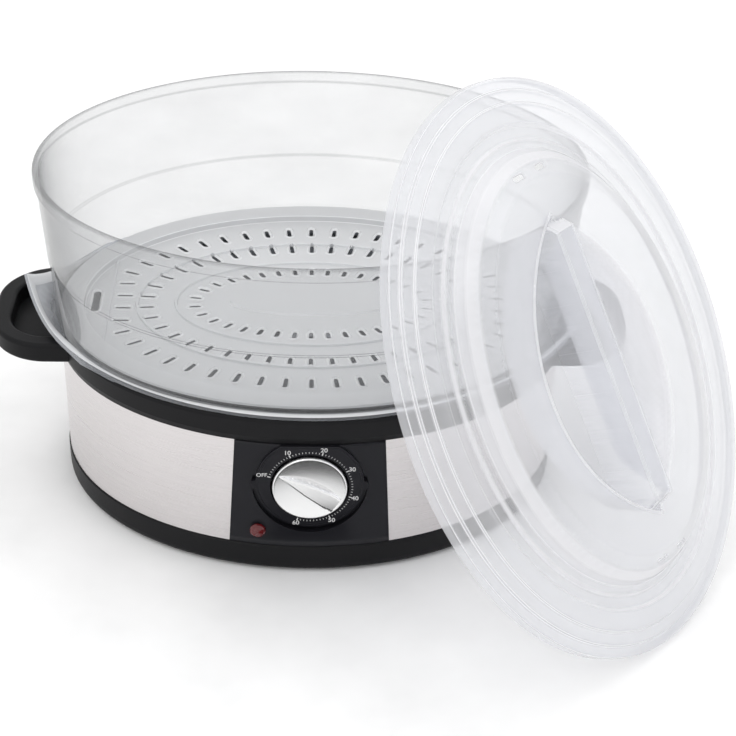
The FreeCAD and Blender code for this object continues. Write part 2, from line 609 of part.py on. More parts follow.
def knob_parts():
    """Turning parts on the timer's axis: shaft and knob, drawn along +Z and turned to face the front."""
    back = "(-(well_wall + bush_length + 8))"
    seat_y = f"{DIAL_Y} + knob_sink"
    shaft = new_body("TimerShaft")
    turned(shaft, "shaft_turn", [("0", back), ("shaft_radius", back), ("shaft_radius", "knob_depth - 4"),
                                 ("0", "knob_depth - 4")])
    place(shaft, "0", seat_y, "dial_z", FACE_OUT)
    node("timer_shaft", shaft)

    knob = new_body("TimerKnob")
    turned(knob, "knob_turn", [
        ("0", "knob_gap"), ("knob_radius", "knob_gap"), ("knob_radius", "knob_depth - 2.2"),
        ("knob_radius - 0.5", "knob_depth - 1.0"), ("knob_radius - 1.6", "knob_depth - 0.4"),
        ("knob_radius - 2.6", "knob_depth - 1.6"), ("knob_radius - 6", "knob_depth - 4.6"),
        ("0", "knob_depth - 6.4")])
    doc.recompute()
    half = "(knob_radius - 2.4)"
    bar = outline(knob, "knob_bar_face", "XY_Plane", [
        (f"-{half}", "0"), (f"-{half} + 5", "-grip_width / 2 + 1.5"), ("0", "-grip_width / 2"),
        (f"{half} - 3", "-grip_width / 2 + 1"), (half, "0"), (f"{half} - 3", "grip_width / 2 - 1"),
        ("0", "grip_width / 2"), (f"-{half} + 5", "grip_width / 2 - 1.5")])
    bar.MapMode = "Deactivated"
    bar.Placement = FreeCAD.Placement(Vec(), Turn(Z_AXIS, num("grip_turn")))
    feature(knob, "Pad", "knob_bar", bar, Length="knob_depth - 0.2")
    doc.recompute()
    under = rings(knob, "knob_under_face", "XY_Plane", [("0", "0", "knob_radius - 2")])
    hollow = feature(knob, "Pocket", "knob_under", under, Length="knob_gap + 1.6")
    hollow.Reversed = True
    doc.recompute()
    hub = rings(knob, "knob_hub_face", "XY_Plane", [("0", "0", "shaft_radius + 3.4")])
    feature(knob, "Pad", "knob_hub", hub, Length="knob_gap + 2")
    doc.recompute()
    trim = rings(knob, "knob_trim_face", "XY_Plane", [("0", "0", "knob_radius + 4")])
    trimmed = feature(knob, "Pocket", "knob_trim", trim, Length="knob_gap")
    trimmed.Reversed = True
    doc.recompute()
    bore = rings(knob, "knob_bore_face", "XY_Plane", [("0", "0", "shaft_radius")])
    bored = feature(knob, "Pocket", "knob_bore", bore, Length="knob_depth - 4")
    bored.Reversed = True
    place(knob, "0", seat_y, "dial_z", FACE_OUT)
    node("timer_knob", knob)


# ---------------------------------------------------------------- heating parts and wiring
def leg_places():
    """Where the two legs of the heating ring go down through the tank floor."""
    return [(f"{ELEMENT} * cos(leg_angle)", f"{side} * {ELEMENT} * sin(leg_angle)") for side in (-1, 1)]


def heating_element():
    """Open ring of sheathed tube with a leg going down at each end."""
    ring = add("Part::Torus", "element_ring", Radius1=ELEMENT, Radius2="tube_radius", Angle3="360 - 2 * leg_angle")
    place(ring, z=ELEMENT_Z, rotation=Turn(Z_AXIS, num("leg_angle")))
    legs = [cylinder(f"element_leg_{index}", "tube_radius", f"{ELEMENT_Z} - tank_floor_z + 12", x=x, y=y,
                     z="tank_floor_z - 12") for index, (x, y) in enumerate(leg_places())]
    knees = []
    for index, (x, y) in enumerate(leg_places()):
        knees.append(place(add("Part::Sphere", f"element_knee_{index}", Radius="tube_radius"), x, y, ELEMENT_Z))
    node("heating_element", fuse("HeatingElement", ring, *legs, *knees))

    seals = []
    nuts = []
    for index, (x, y) in enumerate(leg_places()):
        ring_out = cylinder(f"seal_ring_{index}", "tube_radius + seal_flange", "2", x=x, y=y, z=TANK_TOP)
        ring_stem = cylinder(f"seal_stem_{index}", "tube_radius + 1.1", "tank_wall + 1", x=x, y=y,
                             z="tank_floor_z")
        hole = cylinder(f"seal_hole_{index}", "tube_radius", "20", x=x, y=y, z="tank_floor_z - 5")
        seals.append(cut(f"seal_{index}", fuse(f"seal_blank_{index}", ring_out, ring_stem), hole))
        prism = add("Part::Prism", f"nut_prism_{index}", Circumradius="tube_radius + 4.4", Height="4")
        prism.Polygon = 6
        place(prism, x, y, "tank_floor_z - 4.1")
        nut_hole = cylinder(f"nut_hole_{index}", "tube_radius", "10", x=x, y=y, z="tank_floor_z - 8")
        nuts.append(cut(f"nut_{index}", prism, nut_hole))
    node("element_seals", fuse("ElementSeals", *seals))
    node("element_nuts", fuse("ElementNuts", *nuts))


def thermal_cutout():
    """Disc thermostat pressed to the tank floor by a spring-steel clip."""
    cap = cylinder("cutout_cap", "8", "3", x="-20", z="tank_floor_z - 3")
    base = cylinder("cutout_base", "6.5", "7", x="-20", z="tank_floor_z - 10")
    tabs = [block(f"cutout_tab_{side}", "4", "0.8", "7", x="-20", y=f"{side} * 4", z="tank_floor_z - 16")
            for side in (-1, 1)]
    node("thermal_cutout", fuse("ThermalCutout", cap, base, *tabs))
    strap = block("clip_strap", "44", "20", "1.2", x="-20", z="tank_floor_z - 4.2")
    ends = [block(f"clip_end_{side}", "5", "20", "4.2", x=f"-20 + {side} * 19.5", z="tank_floor_z - 4.2")
            for side in (-1, 1)]
    hole = cylinder("clip_hole", "6.6", "5", x="-20", z="tank_floor_z - 6")
    node("cutout_clip", cut("CutoutClip", fuse("clip_blank", strap, *ends), hole))


def terminal_block():
    """Three-way block on the bottom plate, each way with a wire bore and a clamping screw."""
    floor = "foot_show + 1.5 + plate_thick"
    body = block("terminal_body", "34", "18", "12", x="52", y="62", z=floor)
    ways = ("42", "52", "62")
    bores = [cylinder(f"terminal_bore_{x}", "1.8", "30", x=x, y="47", z=f"{floor} + 5", rotation=Turn(X_AXIS, -90))
             for x in ways]
    wells = [cylinder(f"terminal_well_{x}", "3.4", "8", x=x, y="62", z=f"{floor} + 8") for x in ways]
    node("terminal_block", cut("TerminalBlock", body, *bores, *wells))
    screws = [screw(f"terminal_screw_{x}", x, "62", f"{floor} + 10.4", Turn(X_AXIS, 180), "2.4") for x in ways]
    node("terminal_screws", fuse("TerminalScrews", *screws))


def wire(points, radius, bend):
    """Round wire along straight runs joined by tangent arcs."""
    edges = []
    start = points[0]
    for before, corner, after in zip(points, points[1:], points[2:]):
        back = (before - corner).normalize()
        ahead = (after - corner).normalize()
        half = back.getAngle(ahead) / 2
        reach = bend / math.tan(half)
        first, last = corner + back * reach, corner + ahead * reach
        middle = corner + (back + ahead).normalize() * (bend / math.sin(half) - bend)
        edges += [Part.LineSegment(start, first).toShape(), Part.Arc(first, middle, last).toShape()]
        start = last
    edges.append(Part.LineSegment(start, points[-1]).toShape())
    path = Part.Wire(edges)
    section = Part.Wire([Part.Circle(points[0], points[1] - points[0], radius).toShape()])
    return path.makePipeShell([section], True, False)


def internal_wires():
    """Insulated leads: block to element legs, block to cut-out, block to timer."""
    floor = num("foot_show + 1.5 + plate_thick")
    level = floor + 5
    entry_y = 53.0
    legs = [(num(x), num(y)) for x, y in leg_places()]
    tail_z = num("tank_floor_z") - 12
    timer_back = num(timer_front() + " + timer_depth")
    cut_x, timer_x = -20.0, 18.5
    routes = [
        [Vec(62, entry_y, level), Vec(62, legs[1][1] + 16, level), Vec(*legs[1], level), Vec(*legs[1], tail_z)],
        [Vec(42, entry_y, level), Vec(42, 44, level), Vec(cut_x, 24, level), Vec(cut_x, 4, level),
         Vec(cut_x, 4, tail_z - 4)],
        [Vec(52, entry_y, level), Vec(52, 38, level), Vec(timer_x, timer_back + 8, level),
         Vec(timer_x, timer_back + 8, num("dial_z")), Vec(timer_x, timer_back, num("dial_z"))],
    ]
    solids = [wire(route, 1.2, 5.0) for route in routes]
    node("internal_wires", shape_feature("InternalWires", Part.makeCompound(solids)))


def cord_gland():
    """Rubber gland in the back wall, with an open throat for the cord."""
    body = new_body("CordGland")
    turned(body, "gland_turn", [
        ("4", "-6"), ("7.6", "-6"), ("7.6", "-3.1"), ("6.1", "-3.1"), ("6.1", "0.4"), ("8", "0.4"),
        ("8", "3"), ("6.4", "6"), ("5.6", "20"), ("4", "20")])
    place(body, "0", CASING_Y, "ring_top + 9", Turn(X_AXIS, -90))
    node("cord_gland", body)


def steam_collar():
    """Loose ring round the heating element, with water gaps at its foot."""
    outer = oval_stack("collar_outer", [(COLLAR, f"{COLLAR} - 0.01", f"{TANK_TOP} + seat_gap"),
                                        (f"{COLLAR} - 3", f"{COLLAR} - 3.01", f"{TANK_TOP} + collar_height")])
    inner = oval_stack("collar_inner", [
        (f"{COLLAR} - collar_wall", f"{COLLAR} - collar_wall - 0.01", TANK_TOP),
        (f"{COLLAR} - collar_wall - 3", f"{COLLAR} - collar_wall - 3.01", f"{TANK_TOP} + collar_height + 1")])
    gaps = [block(f"collar_gap_{index}", size_x, size_y, "7", z=TANK_TOP)
            for index, (size_x, size_y) in enumerate((("14", f"3 * {COLLAR}"), (f"3 * {COLLAR}", "14")))]
    node("steam_collar", cut("SteamCollar", outer, inner, *gaps))


# ---------------------------------------------------------------- drip tray
TRAY_TIP = "(base_half_x + ear_reach)"
TRAY_SHIFT = f"(({TRAY_TIP} * {TRAY_TIP} - base_half_y * base_half_y) / (2 * base_half_y))"


def tray_plan(name, grow, z_low, height):
    """Outline of the tray: where two large circles overlap, pointed softly at both ends."""
    discs = [cylinder(f"{name}_disc_{side}", f"{TRAY_SHIFT} + base_half_y + {grow}", height,
                      y=f"{side} * {TRAY_SHIFT}", z=z_low) for side in (-1, 1)]
    return common(name, *discs)


# Up the flared edge of the tray's ends: how far out, and how high, as shares of reach and rise.
EAR_PROFILE = [(0, 0), (0.16, 0.03), (0.38, 0.19), (0.64, 0.47), (0.84, 0.74), (1, 1)]


def tray_brim():
    """Flange whose edge flares up, trimmed to the tray's plan, which leaves a scooped ear at each end."""
    flange_x, flange_y = f"({BOWL_X} + flange_over)", f"({BOWL_Y} + flange_over)"
    run = f"({TRAY_TIP} - {flange_x})"
    under = [(f"-{out} * {run}", f"{TRAY_Z} + {up} * ear_rise") for out, up in EAR_PROFILE]
    over = [(f"{lean} * sheet - {out} * {run}", f"{TRAY_Z} + sheet * {1 - 0.55 * lean:.3f} + {up} * ear_rise")
            for (out, up), lean in zip(EAR_PROFILE, (0, 0.35, 0.75, 0.85, 0.9, 0.9))]
    over.append((f"0.9 * sheet - 1.1 * {run}", f"{TRAY_Z} + sheet + 1.3 * ear_rise"))
    brim = cut("tray_brim", inset_stack("brim_under", flange_x, flange_y, under),
               inset_stack("brim_over", flange_x, flange_y, over))
    return common("tray_brim_trimmed", brim, tray_plan("tray_plan", "0", f"{TRAY_Z} - 1", "ear_rise + 9"))


def drip_tray():
    """Oval tray with a flange, a shallow basin, a raised steam opening and two scooped ears."""
    half_x, half_y = f"{BASIN_X} - basin_gap", f"{BASIN_Y} - basin_gap"
    basin = inset_stack("tray_basin", half_x, half_y, [
        ("2.5", f"{TRAY_TOP} - basin_depth - sheet"), ("0", f"{TRAY_TOP} - basin_depth + 1"),
        ("0", f"{TRAY_TOP} - 0.2")])
    basin_room = inset_stack("tray_basin_room", half_x, half_y, [
        ("2.5 + sheet", f"{TRAY_TOP} - basin_depth"), ("sheet", f"{TRAY_TOP} - basin_depth + 2.5"),
        ("sheet", f"{TRAY_TOP} + 1")])
    collar = oval_stack("tray_vent", [
        ("vent_half_x + sheet", "vent_half_y + sheet", f"{TRAY_TOP} - basin_depth - sheet"),
        ("vent_half_x", "vent_half_y", f"{TRAY_TOP} - basin_depth + vent_height")])
    vent = oval_stack("tray_vent_hole", [
        ("vent_half_x", "vent_half_y", f"{TRAY_TOP} - basin_depth - sheet - 1"),
        ("vent_half_x - sheet", "vent_half_y - sheet", f"{TRAY_TOP} - basin_depth + vent_height + 1")])
    sheet_top = fuse("tray_sheet", tray_brim(), basin)
    dished = cut("tray_dished", sheet_top, basin_room)
    node("drip_tray", cut("DripTray", fuse("tray_with_vent", dished, collar), vent))


# ---------------------------------------------------------------- basket
def basket_wall():
    """Clear wall, flaring upward, with a step a third of the way up, a thick lip and a ledge at its foot."""
    outer = inset_stack("bowl_outer", BOWL_X, BOWL_Y, [
        ("0", BOWL_Z), ("-0.4 * bowl_flare + step_proud", f"{BOWL_Z} + step_z"),
        ("-0.4 * bowl_flare", f"{BOWL_Z} + step_z + 0.6"), ("-bowl_flare", f"{BOWL_TOP} - lip_height"),
        ("-bowl_flare - lip_proud + 0.4", f"{BOWL_TOP} - lip_height + 0.5"),
        ("-bowl_flare - lip_proud", f"{BOWL_TOP} - lip_height + 1.4"),
        ("-bowl_flare - lip_proud", f"{BOWL_TOP} - 1.4"), ("-bowl_flare - lip_proud + 0.5", f"{BOWL_TOP} - 0.4"),
        ("-bowl_flare - lip_proud + 1.4", BOWL_TOP)])
    inner = inset_stack("bowl_inner", BOWL_X, BOWL_Y, [
        ("bowl_wall", f"{BOWL_Z} + sheet"),
        ("-0.4 * bowl_flare + step_proud + bowl_wall", f"{BOWL_Z} + step_z"),
        ("-0.4 * bowl_flare + bowl_wall", f"{BOWL_Z} + step_z + 0.6"),
        ("-bowl_flare + bowl_wall", f"{BOWL_TOP} - lip_height"), ("-bowl_flare + bowl_wall", f"{BOWL_TOP} - 1"),
        ("-bowl_flare + bowl_wall - 0.6", f"{BOWL_TOP} + 0.01")])
    opening = inset_stack("bowl_opening", FLOOR_X, FLOOR_Y, [("-part_gap", f"{BOWL_Z} - 1"),
                                                            ("-part_gap", f"{BOWL_Z} + 6")])
    node("basket_wall", cut("BasketWall", outer, inner, opening))


def floor_inset(share):
    """Inset of a ring on the floor, as a share of the way from its edge to its raised middle."""
    return f"({share} * ({FLOOR_Y} - medallion_half))"


def floor_slots():
    """Cutters for the three rings of steam slots and the two end holes."""
    low, high = num(FLOOR_Z) - 6, num(FLOOR_Z) + 6
    chord = num(f"{FLOOR_X} - chord_in")
    long, wide = num("slot_long"), num("slot_wide")
    cutters = []
    for share, pitch, length in (("17.5 / 88", 14.0, long), ("39 / 88", 12.0, long - 1),
                                 ("67 / 88", 10.0, long - 2.5)):
        inset = floor_inset(share)
        half_x, half_y = num(f"{FLOOR_X} - {inset}"), num(f"{FLOOR_Y} - {inset}")
        for angle in oval_stations(half_x, half_y, pitch):
            x, y, turn = half_x * math.cos(angle), half_y * math.sin(angle), angle
            limit = chord - length / 2 - 2.5
            if abs(x) > limit:
                x = math.copysign(limit, x)
                turn = 0.0
            cutters.append(slot_prism(x, y, turn, length, wide, low, high))
    for side in (-1, 1):
        cutters.append(slot_prism(side * (chord + 8.5), 0, math.pi / 2, 25, 6, low, high))
    return cutters


def basket_floor():
    """Slotted oval floor: a lip on the wall's ledge, a low wall, and a ribbed plate with steam slots."""
    lip_low = f"({BOWL_Z} + sheet + seat_gap)"
    dish = inset_stack("floor_dish", FLOOR_X, FLOOR_Y, [("0.5", f"{FLOOR_Z} - sheet"), ("0", f"{lip_low} + 1")])
    lip = inset_stack("floor_lip", FLOOR_X, FLOOR_Y, [("-floor_edge", lip_low), ("-floor_edge", f"{lip_low} + 1.6")])
    room = inset_stack("floor_room", FLOOR_X, FLOOR_Y, [("sheet + 0.5", FLOOR_Z), ("sheet", f"{lip_low} + 3")])
    ribs = []
    for index, inset in enumerate((floor_inset("32 / 88"), floor_inset("55 / 88"))):
        outer = inset_stack(f"floor_rib_{index}", FLOOR_X, FLOOR_Y, [
            (inset, f"{FLOOR_Z} - 0.5"), (inset, f"{FLOOR_Z} + 0.6"), (f"{inset} + 0.6", f"{FLOOR_Z} + 1.2")])
        inner = inset_stack(f"floor_rib_room_{index}", FLOOR_X, FLOOR_Y, [
            (f"{inset} + 2.4", f"{FLOOR_Z} - 1"), (f"{inset} + 2", f"{FLOOR_Z} + 2")])
        ribs.append(cut(f"floor_ridge_{index}", outer, inner))
    middle = floor_inset("1")
    medallion = inset_stack("floor_medallion", FLOOR_X, FLOOR_Y, [
        (middle, f"{FLOOR_Z} - 0.5"), (middle, f"{FLOOR_Z} + 0.6"), (f"{middle} + 0.8", f"{FLOOR_Z} + 1.2")])
    chord_x = f"({FLOOR_X} - chord_in)"
    chord_long = f"2 * {FLOOR_Y} * sqrt(1 - ({chord_x} / {FLOOR_X}) * ({chord_x} / {FLOOR_X})) - 2"
    chords = [block(f"floor_chord_{side}", "1.8", chord_long, "1.6", x=f"{side} * {chord_x}",
                    z=f"{FLOOR_Z} - 0.4") for side in (-1, 1)]
    dished = cut("floor_dished", fuse("floor_blank", dish, lip), room)
    whole = fuse("floor_whole", dished, medallion, *ribs, *chords)
    slots = shape_feature("floor_slots", Part.makeCompound(floor_slots()))
    node("basket_floor", cut("BasketFloor", whole, slots))


# ---------------------------------------------------------------- lid
# Up the lid from its edge: inset, height, and which way the inner skin is shifted there.
LID_PROFILE = [
    ("0", "0.6", 1), ("0.6", "2", 1), ("6.5", "2", 1), ("7.3", "4.2", 1), ("14", "4.4", 1), ("14.8", "6.2", 1),
    ("25.5", "6.4", -0.8), ("27.5", "4", -0.8), ("33", "4", 0.8), ("35", "6.2", 0.8), ("dome_in", "7.4", 0.8),
    ("dome_in + 3", "dome_rise * 0.55", 1), ("dome_in + 8", "dome_rise * 0.78", 0.8),
    ("dome_in + 17", "dome_rise * 0.93", 0.3), ("dome_in + 32", "dome_rise", 0)]


def lid_steps(wall):
    """Steps of (inset, height) of the lid's skin, wall below its outside."""
    return [(f"{inset} + {shift} * {wall}", f"{height} - {wall}") for inset, height, shift in LID_PROFILE]


def scoop_lens(name, grow, floor, top):
    """Pointed oval prism of the two finger scoops."""
    half_long, half_wide = f"(scoop_half_long + {grow})", f"(scoop_half_wide + {grow})"
    radius = f"(({half_long} * {half_long} + {half_wide} * {half_wide}) / (2 * {half_wide}))"
    discs = [cylinder(f"{name}_disc_{side}", radius, f"{top} - ({floor})", y=f"{side} * ({radius} - {half_wide})",
                      z=floor) for side in (-1, 1)]
    return common(name, *discs)


def lid_bar(name, grow, top):
    """Straight grip bar along the lid's long axis, with sloping ends."""
    body = new_body(name)
    half = f"(scoop_half_long + {grow})"
    sketch = outline(body, name + "_profile", "XZ_Plane", [
        (f"-{half}", "-9"), (half, "-9"), (f"{half} - 1", "dome_rise * 0.8"), (f"{half} - 9", top),
        (f"-{half} + 9", top), (f"-{half} + 1", "dome_rise * 0.8")])
    pad = feature(body, "Pad", name + "_pad", sketch, Length=f"bar_width + 2 * {grow}")
    pad.Midplane = True
    return body


def lid():
    """Domed lid with a moulded grip: two scoops sunk in the dome and a bar left between them."""
    outer_dome = inset_stack("lid_outer", LID_X, LID_Y, [("0", "-lid_lip")] + lid_steps("0"))
    inner_dome = inset_stack("lid_inner", LID_X, LID_Y, [("lid_wall", "-lid_lip - 1")] + lid_steps("lid_wall")[2:])
    outer_bar = lid_bar("lid_bar", "0", "bar_rise")
    inner_bar = lid_bar("lid_bar_room", "-lid_wall", "bar_rise - lid_wall")
    outer_scoop = scoop_lens("lid_scoop", "0", "0", "dome_rise + 5")
    inner_scoop = scoop_lens("lid_scoop_under", "lid_wall", "-lid_wall", "dome_rise + 5")
    outside = fuse("lid_outside", cut("lid_scooped", outer_dome, outer_scoop), above_flange(outer_bar))
    inside = fuse("lid_inside", cut("lid_inner_scooped", inner_dome, inner_scoop), above_flange(inner_bar))
    vents = shape_feature("lid_vents", Part.makeCompound([
        slot_prism(side * num(f"{LID_X} - dome_in - 12"), across, math.pi / 2, 9, 3, 0, num("dome_rise + 6"))
        for side in (-1, 1) for across in (-9, 9)]))
    return node("lid", cut("Lid", outside, inside, vents))


def above_flange(bar):
    """Only the part of the bar above the flange plane."""
    keep = block(bar.Name + "_keep", "3 * scoop_half_long", "3 * bar_width", "2 * bar_rise")
    return common(bar.Name + "_trim", bar, keep)


def lean_lid(piece):
    """Stand the lid on the table on its edge, leaning back until it meets the basket's rim."""
    turn, rise = math.radians(num("lean_turn")), math.radians(num("lean_rise"))
    out = Vec(math.cos(rise) * math.cos(-turn), math.cos(rise) * math.sin(-turn), math.sin(rise))
    side = Vec(-out.y, out.x, 0).normalize()
    up = out.cross(side)
    roll = math.radians(num("lean_roll"))
    long_axis = up * math.cos(roll) + side * math.sin(roll)
    across = out.cross(long_axis)
    rim_reach = math.hypot(num(BOWL_RIM_X) * out.x, num(BOWL_RIM_Y) * out.y) + num(BOWL_TOP) * out.z
    plane = rim_reach + num("lid_wall - lean_nest")
    lid_x, lid_y = num(LID_X), num(LID_Y)
    centre_z = math.hypot(lid_x * long_axis.z, lid_y * across.z) + num("lid_lip") * out.z
    along = (centre_z - plane * out.z) / up.z
    centre = out * plane + up * along + side * num("lean_side")
    piece.Placement = FreeCAD.Placement(centre, Turn(long_axis, across, out, "ZXY"))


# ---------------------------------------------------------------- build, check, export
def build_all():
    lower_housing()
    bottom_plate()
    feet()
    bottom_screws()
    steel_band()
    water_tank()
    handle(-1)
    handle(1)
    handle_screws()
    control_panel()
    dial_plate()
    pilot_lamp()
    timer()
    knob_parts()
    heating_element()
    thermal_cutout()
    terminal_block()
    internal_wires()
    cord_gland()
    steam_collar()
    drip_tray()
    basket_wall()
    basket_floor()
    lean_lid(lid())


def check_all():
    doc.recompute()
    for obj in doc.Objects:
        if "Invalid" in obj.State or "Error" in obj.State:
            raise RuntimeError(f"{obj.Name} failed: {obj.State}")
    for name, obj in NODES.items():
        if obj.Shape.isNull() or not obj.Shape.isValid() or not obj.Shape.Solids:
            raise RuntimeError(f"{name} has no sound solid")


def export_all():
    os.makedirs("parts", exist_ok=True)
    for name, obj in NODES.items():
        obj.Shape.exportStep(f"parts/{name}.step")


build_all()
check_all()
export_all()
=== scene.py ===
"""Looks of an electric food steamer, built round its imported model. +Z up, front towards -Y.

Sizes are in millimetres unless a comment says metres; to_mesh turns them into metres.
"""

import json
import math

import bpy
import numpy as np
from mathutils import Matrix, Vector, geometry


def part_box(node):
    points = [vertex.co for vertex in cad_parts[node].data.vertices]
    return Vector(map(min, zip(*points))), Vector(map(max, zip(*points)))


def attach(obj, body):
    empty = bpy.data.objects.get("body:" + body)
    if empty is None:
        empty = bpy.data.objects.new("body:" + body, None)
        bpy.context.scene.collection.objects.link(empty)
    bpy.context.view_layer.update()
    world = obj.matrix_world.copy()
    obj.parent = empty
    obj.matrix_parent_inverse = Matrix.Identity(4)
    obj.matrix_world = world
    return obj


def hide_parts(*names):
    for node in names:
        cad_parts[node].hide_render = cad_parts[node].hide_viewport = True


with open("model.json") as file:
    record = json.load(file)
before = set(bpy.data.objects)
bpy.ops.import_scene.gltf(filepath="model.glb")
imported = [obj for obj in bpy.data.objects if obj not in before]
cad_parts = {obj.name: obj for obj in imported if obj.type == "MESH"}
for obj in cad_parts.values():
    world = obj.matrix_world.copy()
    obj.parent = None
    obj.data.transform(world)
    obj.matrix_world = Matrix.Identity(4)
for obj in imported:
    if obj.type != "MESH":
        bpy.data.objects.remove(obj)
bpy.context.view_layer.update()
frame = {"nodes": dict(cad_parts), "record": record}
NODES = frame["nodes"]

MM = 0.001
AROUND = 288  # points round each oval
EDGE_ANGLE = math.radians(38)  # edges sharper than this stay crisp
UPRIGHT = Matrix.Rotation(math.pi / 2, 4, "X")  # stands a plan up so that it faces the front
UPWARD = (0, 0, 1)


def box_mm(node):
    """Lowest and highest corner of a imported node, in millimetres."""
    return [[value / MM for value in corner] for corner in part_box(node)]


# ---------------------------------------------------------------- sizes taken from the frame
BOWL_LOW, BOWL_HIGH = box_mm("basket_wall")
BOWL_Z, BOWL_TOP = BOWL_LOW[2], BOWL_HIGH[2]
BOWL_RISE = BOWL_TOP - BOWL_Z
BOWL_OUT = 6.7  # how far the rim stands out past the wall's foot
BOWL_X, BOWL_Y = BOWL_HIGH[0] - BOWL_OUT, BOWL_HIGH[1] - BOWL_OUT
FLOOR_LOW, FLOOR_HIGH = box_mm("basket_floor")
FLOOR_LIP, FLOOR_SHEET = 11.0, 1.8
FLOOR_X, FLOOR_Y = FLOOR_HIGH[0] - FLOOR_LIP, FLOOR_HIGH[1] - FLOOR_LIP
FLOOR_Z, FLOOR_LIP_Z = FLOOR_LOW[2] + FLOOR_SHEET, FLOOR_HIGH[2]
TRAY_LOW, TRAY_HIGH = box_mm("drip_tray")
BASIN_DEPTH, TRAY_SHEET = 9.6, 1.8
TRAY_TOP = TRAY_LOW[2] + BASIN_DEPTH + TRAY_SHEET
TRAY_TIP, TRAY_HALF_Y = TRAY_HIGH[0], TRAY_HIGH[1]
DIAL_Y = box_mm("dial_plate")[0][1]
KNOB_LOW, KNOB_HIGH = box_mm("timer_knob")
KNOB_RADIUS = (KNOB_HIGH[0] - KNOB_LOW[0]) / 2
DIAL_Z = (KNOB_LOW[2] + KNOB_HIGH[2]) / 2

# How the lid leans: the way its face points, its roll, and where its middle stands.
LEAN_TURN, LEAN_RISE, LEAN_ROLL = math.radians(42.6), math.radians(30.7), math.radians(-0.5)
LID_CENTRE = Vector((141.84, -116.44, 141.08))
LID_FACES = Vector((math.cos(LEAN_RISE) * math.cos(LEAN_TURN),
                    -math.cos(LEAN_RISE) * math.sin(LEAN_TURN),
                    math.sin(LEAN_RISE)))

# ---------------------------------------------------------------- camera, floor and light
CAMERA_PLACE = Vector((0.79, -884.4, 654.9)) * MM
CAMERA_YAW, CAMERA_PITCH, CAMERA_ROLL = math.radians(2.22), math.radians(33.77), math.radians(1.71)
CAMERA_LENS, SENSOR = 84.72, 36.0
CAMERA_NEAR, CAMERA_FAR = 0.05, 20  # metres

SKY_STRENGTH = 0.97
# Soft lights: name, place and size in metres, power in watts. They all face one point.
LIGHTS = (("Key", (-0.9, -1.0, 1.7), (1.2, 0.9), 5),
          ("Fill", (1.3, -0.7, 1.2), (1.0, 1.0), 2.5),
          ("Top", (0.1, 0.5, 1.9), (1.6, 1.2), 5))
LIGHTS_FACE = (0, 0, 0.1)  # metres
FLOOR_REACH = 4000.0
# The flag lies level in front of the base, and only reflections show it.
FLAG_HALF, FLAG_FRONT, FLAG_BACK, FLAG_UP = 26.0, -163.0, -126.0, 20.0


def make_camera():
    """Camera at the measured viewing angle: yawed to the right, pitched down and slightly rolled."""
    ahead = Vector((math.sin(CAMERA_YAW) * math.cos(CAMERA_PITCH),
                    math.cos(CAMERA_YAW) * math.cos(CAMERA_PITCH),
                    -math.sin(CAMERA_PITCH)))
    level = Vector((math.cos(CAMERA_YAW), -math.sin(CAMERA_YAW), 0))
    upright = level.cross(ahead)
    right = level * math.cos(CAMERA_ROLL) + upright * math.sin(CAMERA_ROLL)
    up = upright * math.cos(CAMERA_ROLL) - level * math.sin(CAMERA_ROLL)
    data = bpy.data.cameras.new("Camera")
    data.lens, data.sensor_width = CAMERA_LENS, SENSOR
    data.clip_start, data.clip_end = CAMERA_NEAR, CAMERA_FAR
    camera = bpy.data.objects.new("Camera", data)
    turn = Matrix((right, up, -ahead)).transposed().to_4x4()
    camera.matrix_world = Matrix.Translation(CAMERA_PLACE) @ turn
    bpy.context.scene.collection.objects.link(camera)
    bpy.context.scene.camera = camera


def area_light(name, place, size, power):
    """Rectangular white light of this size at this place."""
    data = bpy.data.lights.new(name, "AREA")
    data.shape = "RECTANGLE"
    data.size, data.size_y = size
    data.energy = power
    lamp = bpy.data.objects.new(name, data)
    lamp.location = place
    aim = Vector(LIGHTS_FACE) - Vector(place)
    lamp.rotation_euler = aim.to_track_quat("-Z", "Y").to_euler()
    bpy.context.scene.collection.objects.link(lamp)


def make_world():
    """Even white surroundings, with colours shown as they are."""
    world = bpy.data.worlds.new("Studio")
    world.use_nodes = True
    background = world.node_tree.nodes["Background"]
    background.inputs["Color"].default_value = (1.0, 1.0, 1.0, 1)
    background.inputs["Strength"].default_value = SKY_STRENGTH
    bpy.context.scene.world = world
    bpy.context.scene.view_settings.view_transform = "Standard"


def level_rectangle(name, low, high, z):
    """Level rectangle between two (x, y) corners."""
    corners = [(low[0], low[1], z), (high[0], low[1], z), (high[0], high[1], z), (low[0], high[1], z)]
    return to_mesh(name, corners, [(0, 1, 2, 3)])


def make_studio():
    """White floor, three large soft lights, and a black flag that the knob's dish mirrors."""
    make_world()
    for light in LIGHTS:
        area_light(*light)
    floor = level_rectangle("Floor", (-FLOOR_REACH, -FLOOR_REACH), (FLOOR_REACH, FLOOR_REACH), 0)
    floor.data.materials.append(solid_material("FloorWhite", (0.97, 0.97, 0.97), 0.7))
    flag = level_rectangle("Flag", (-FLAG_HALF, FLAG_FRONT), (FLAG_HALF, FLAG_BACK), FLAG_UP)
    flag.data.materials.append(solid_material("FlagBlack", (0.01, 0.01, 0.01), 0.8))
    flag.visible_camera = flag.visible_diffuse = flag.visible_transmission = flag.visible_shadow = False


# ---------------------------------------------------------------- shader parts
# Sizes of noise, in waves a metre along x, y and z.
GRAIN, CLOUD, SHEET_CLOUD, BRUSH_LINES = (900, 900, 900), (14, 14, 14), (22, 22, 22), (9, 9, 2600)
NOISE_LOW, NOISE_HIGH = 0.3, 0.7  # most of a noise lies between these


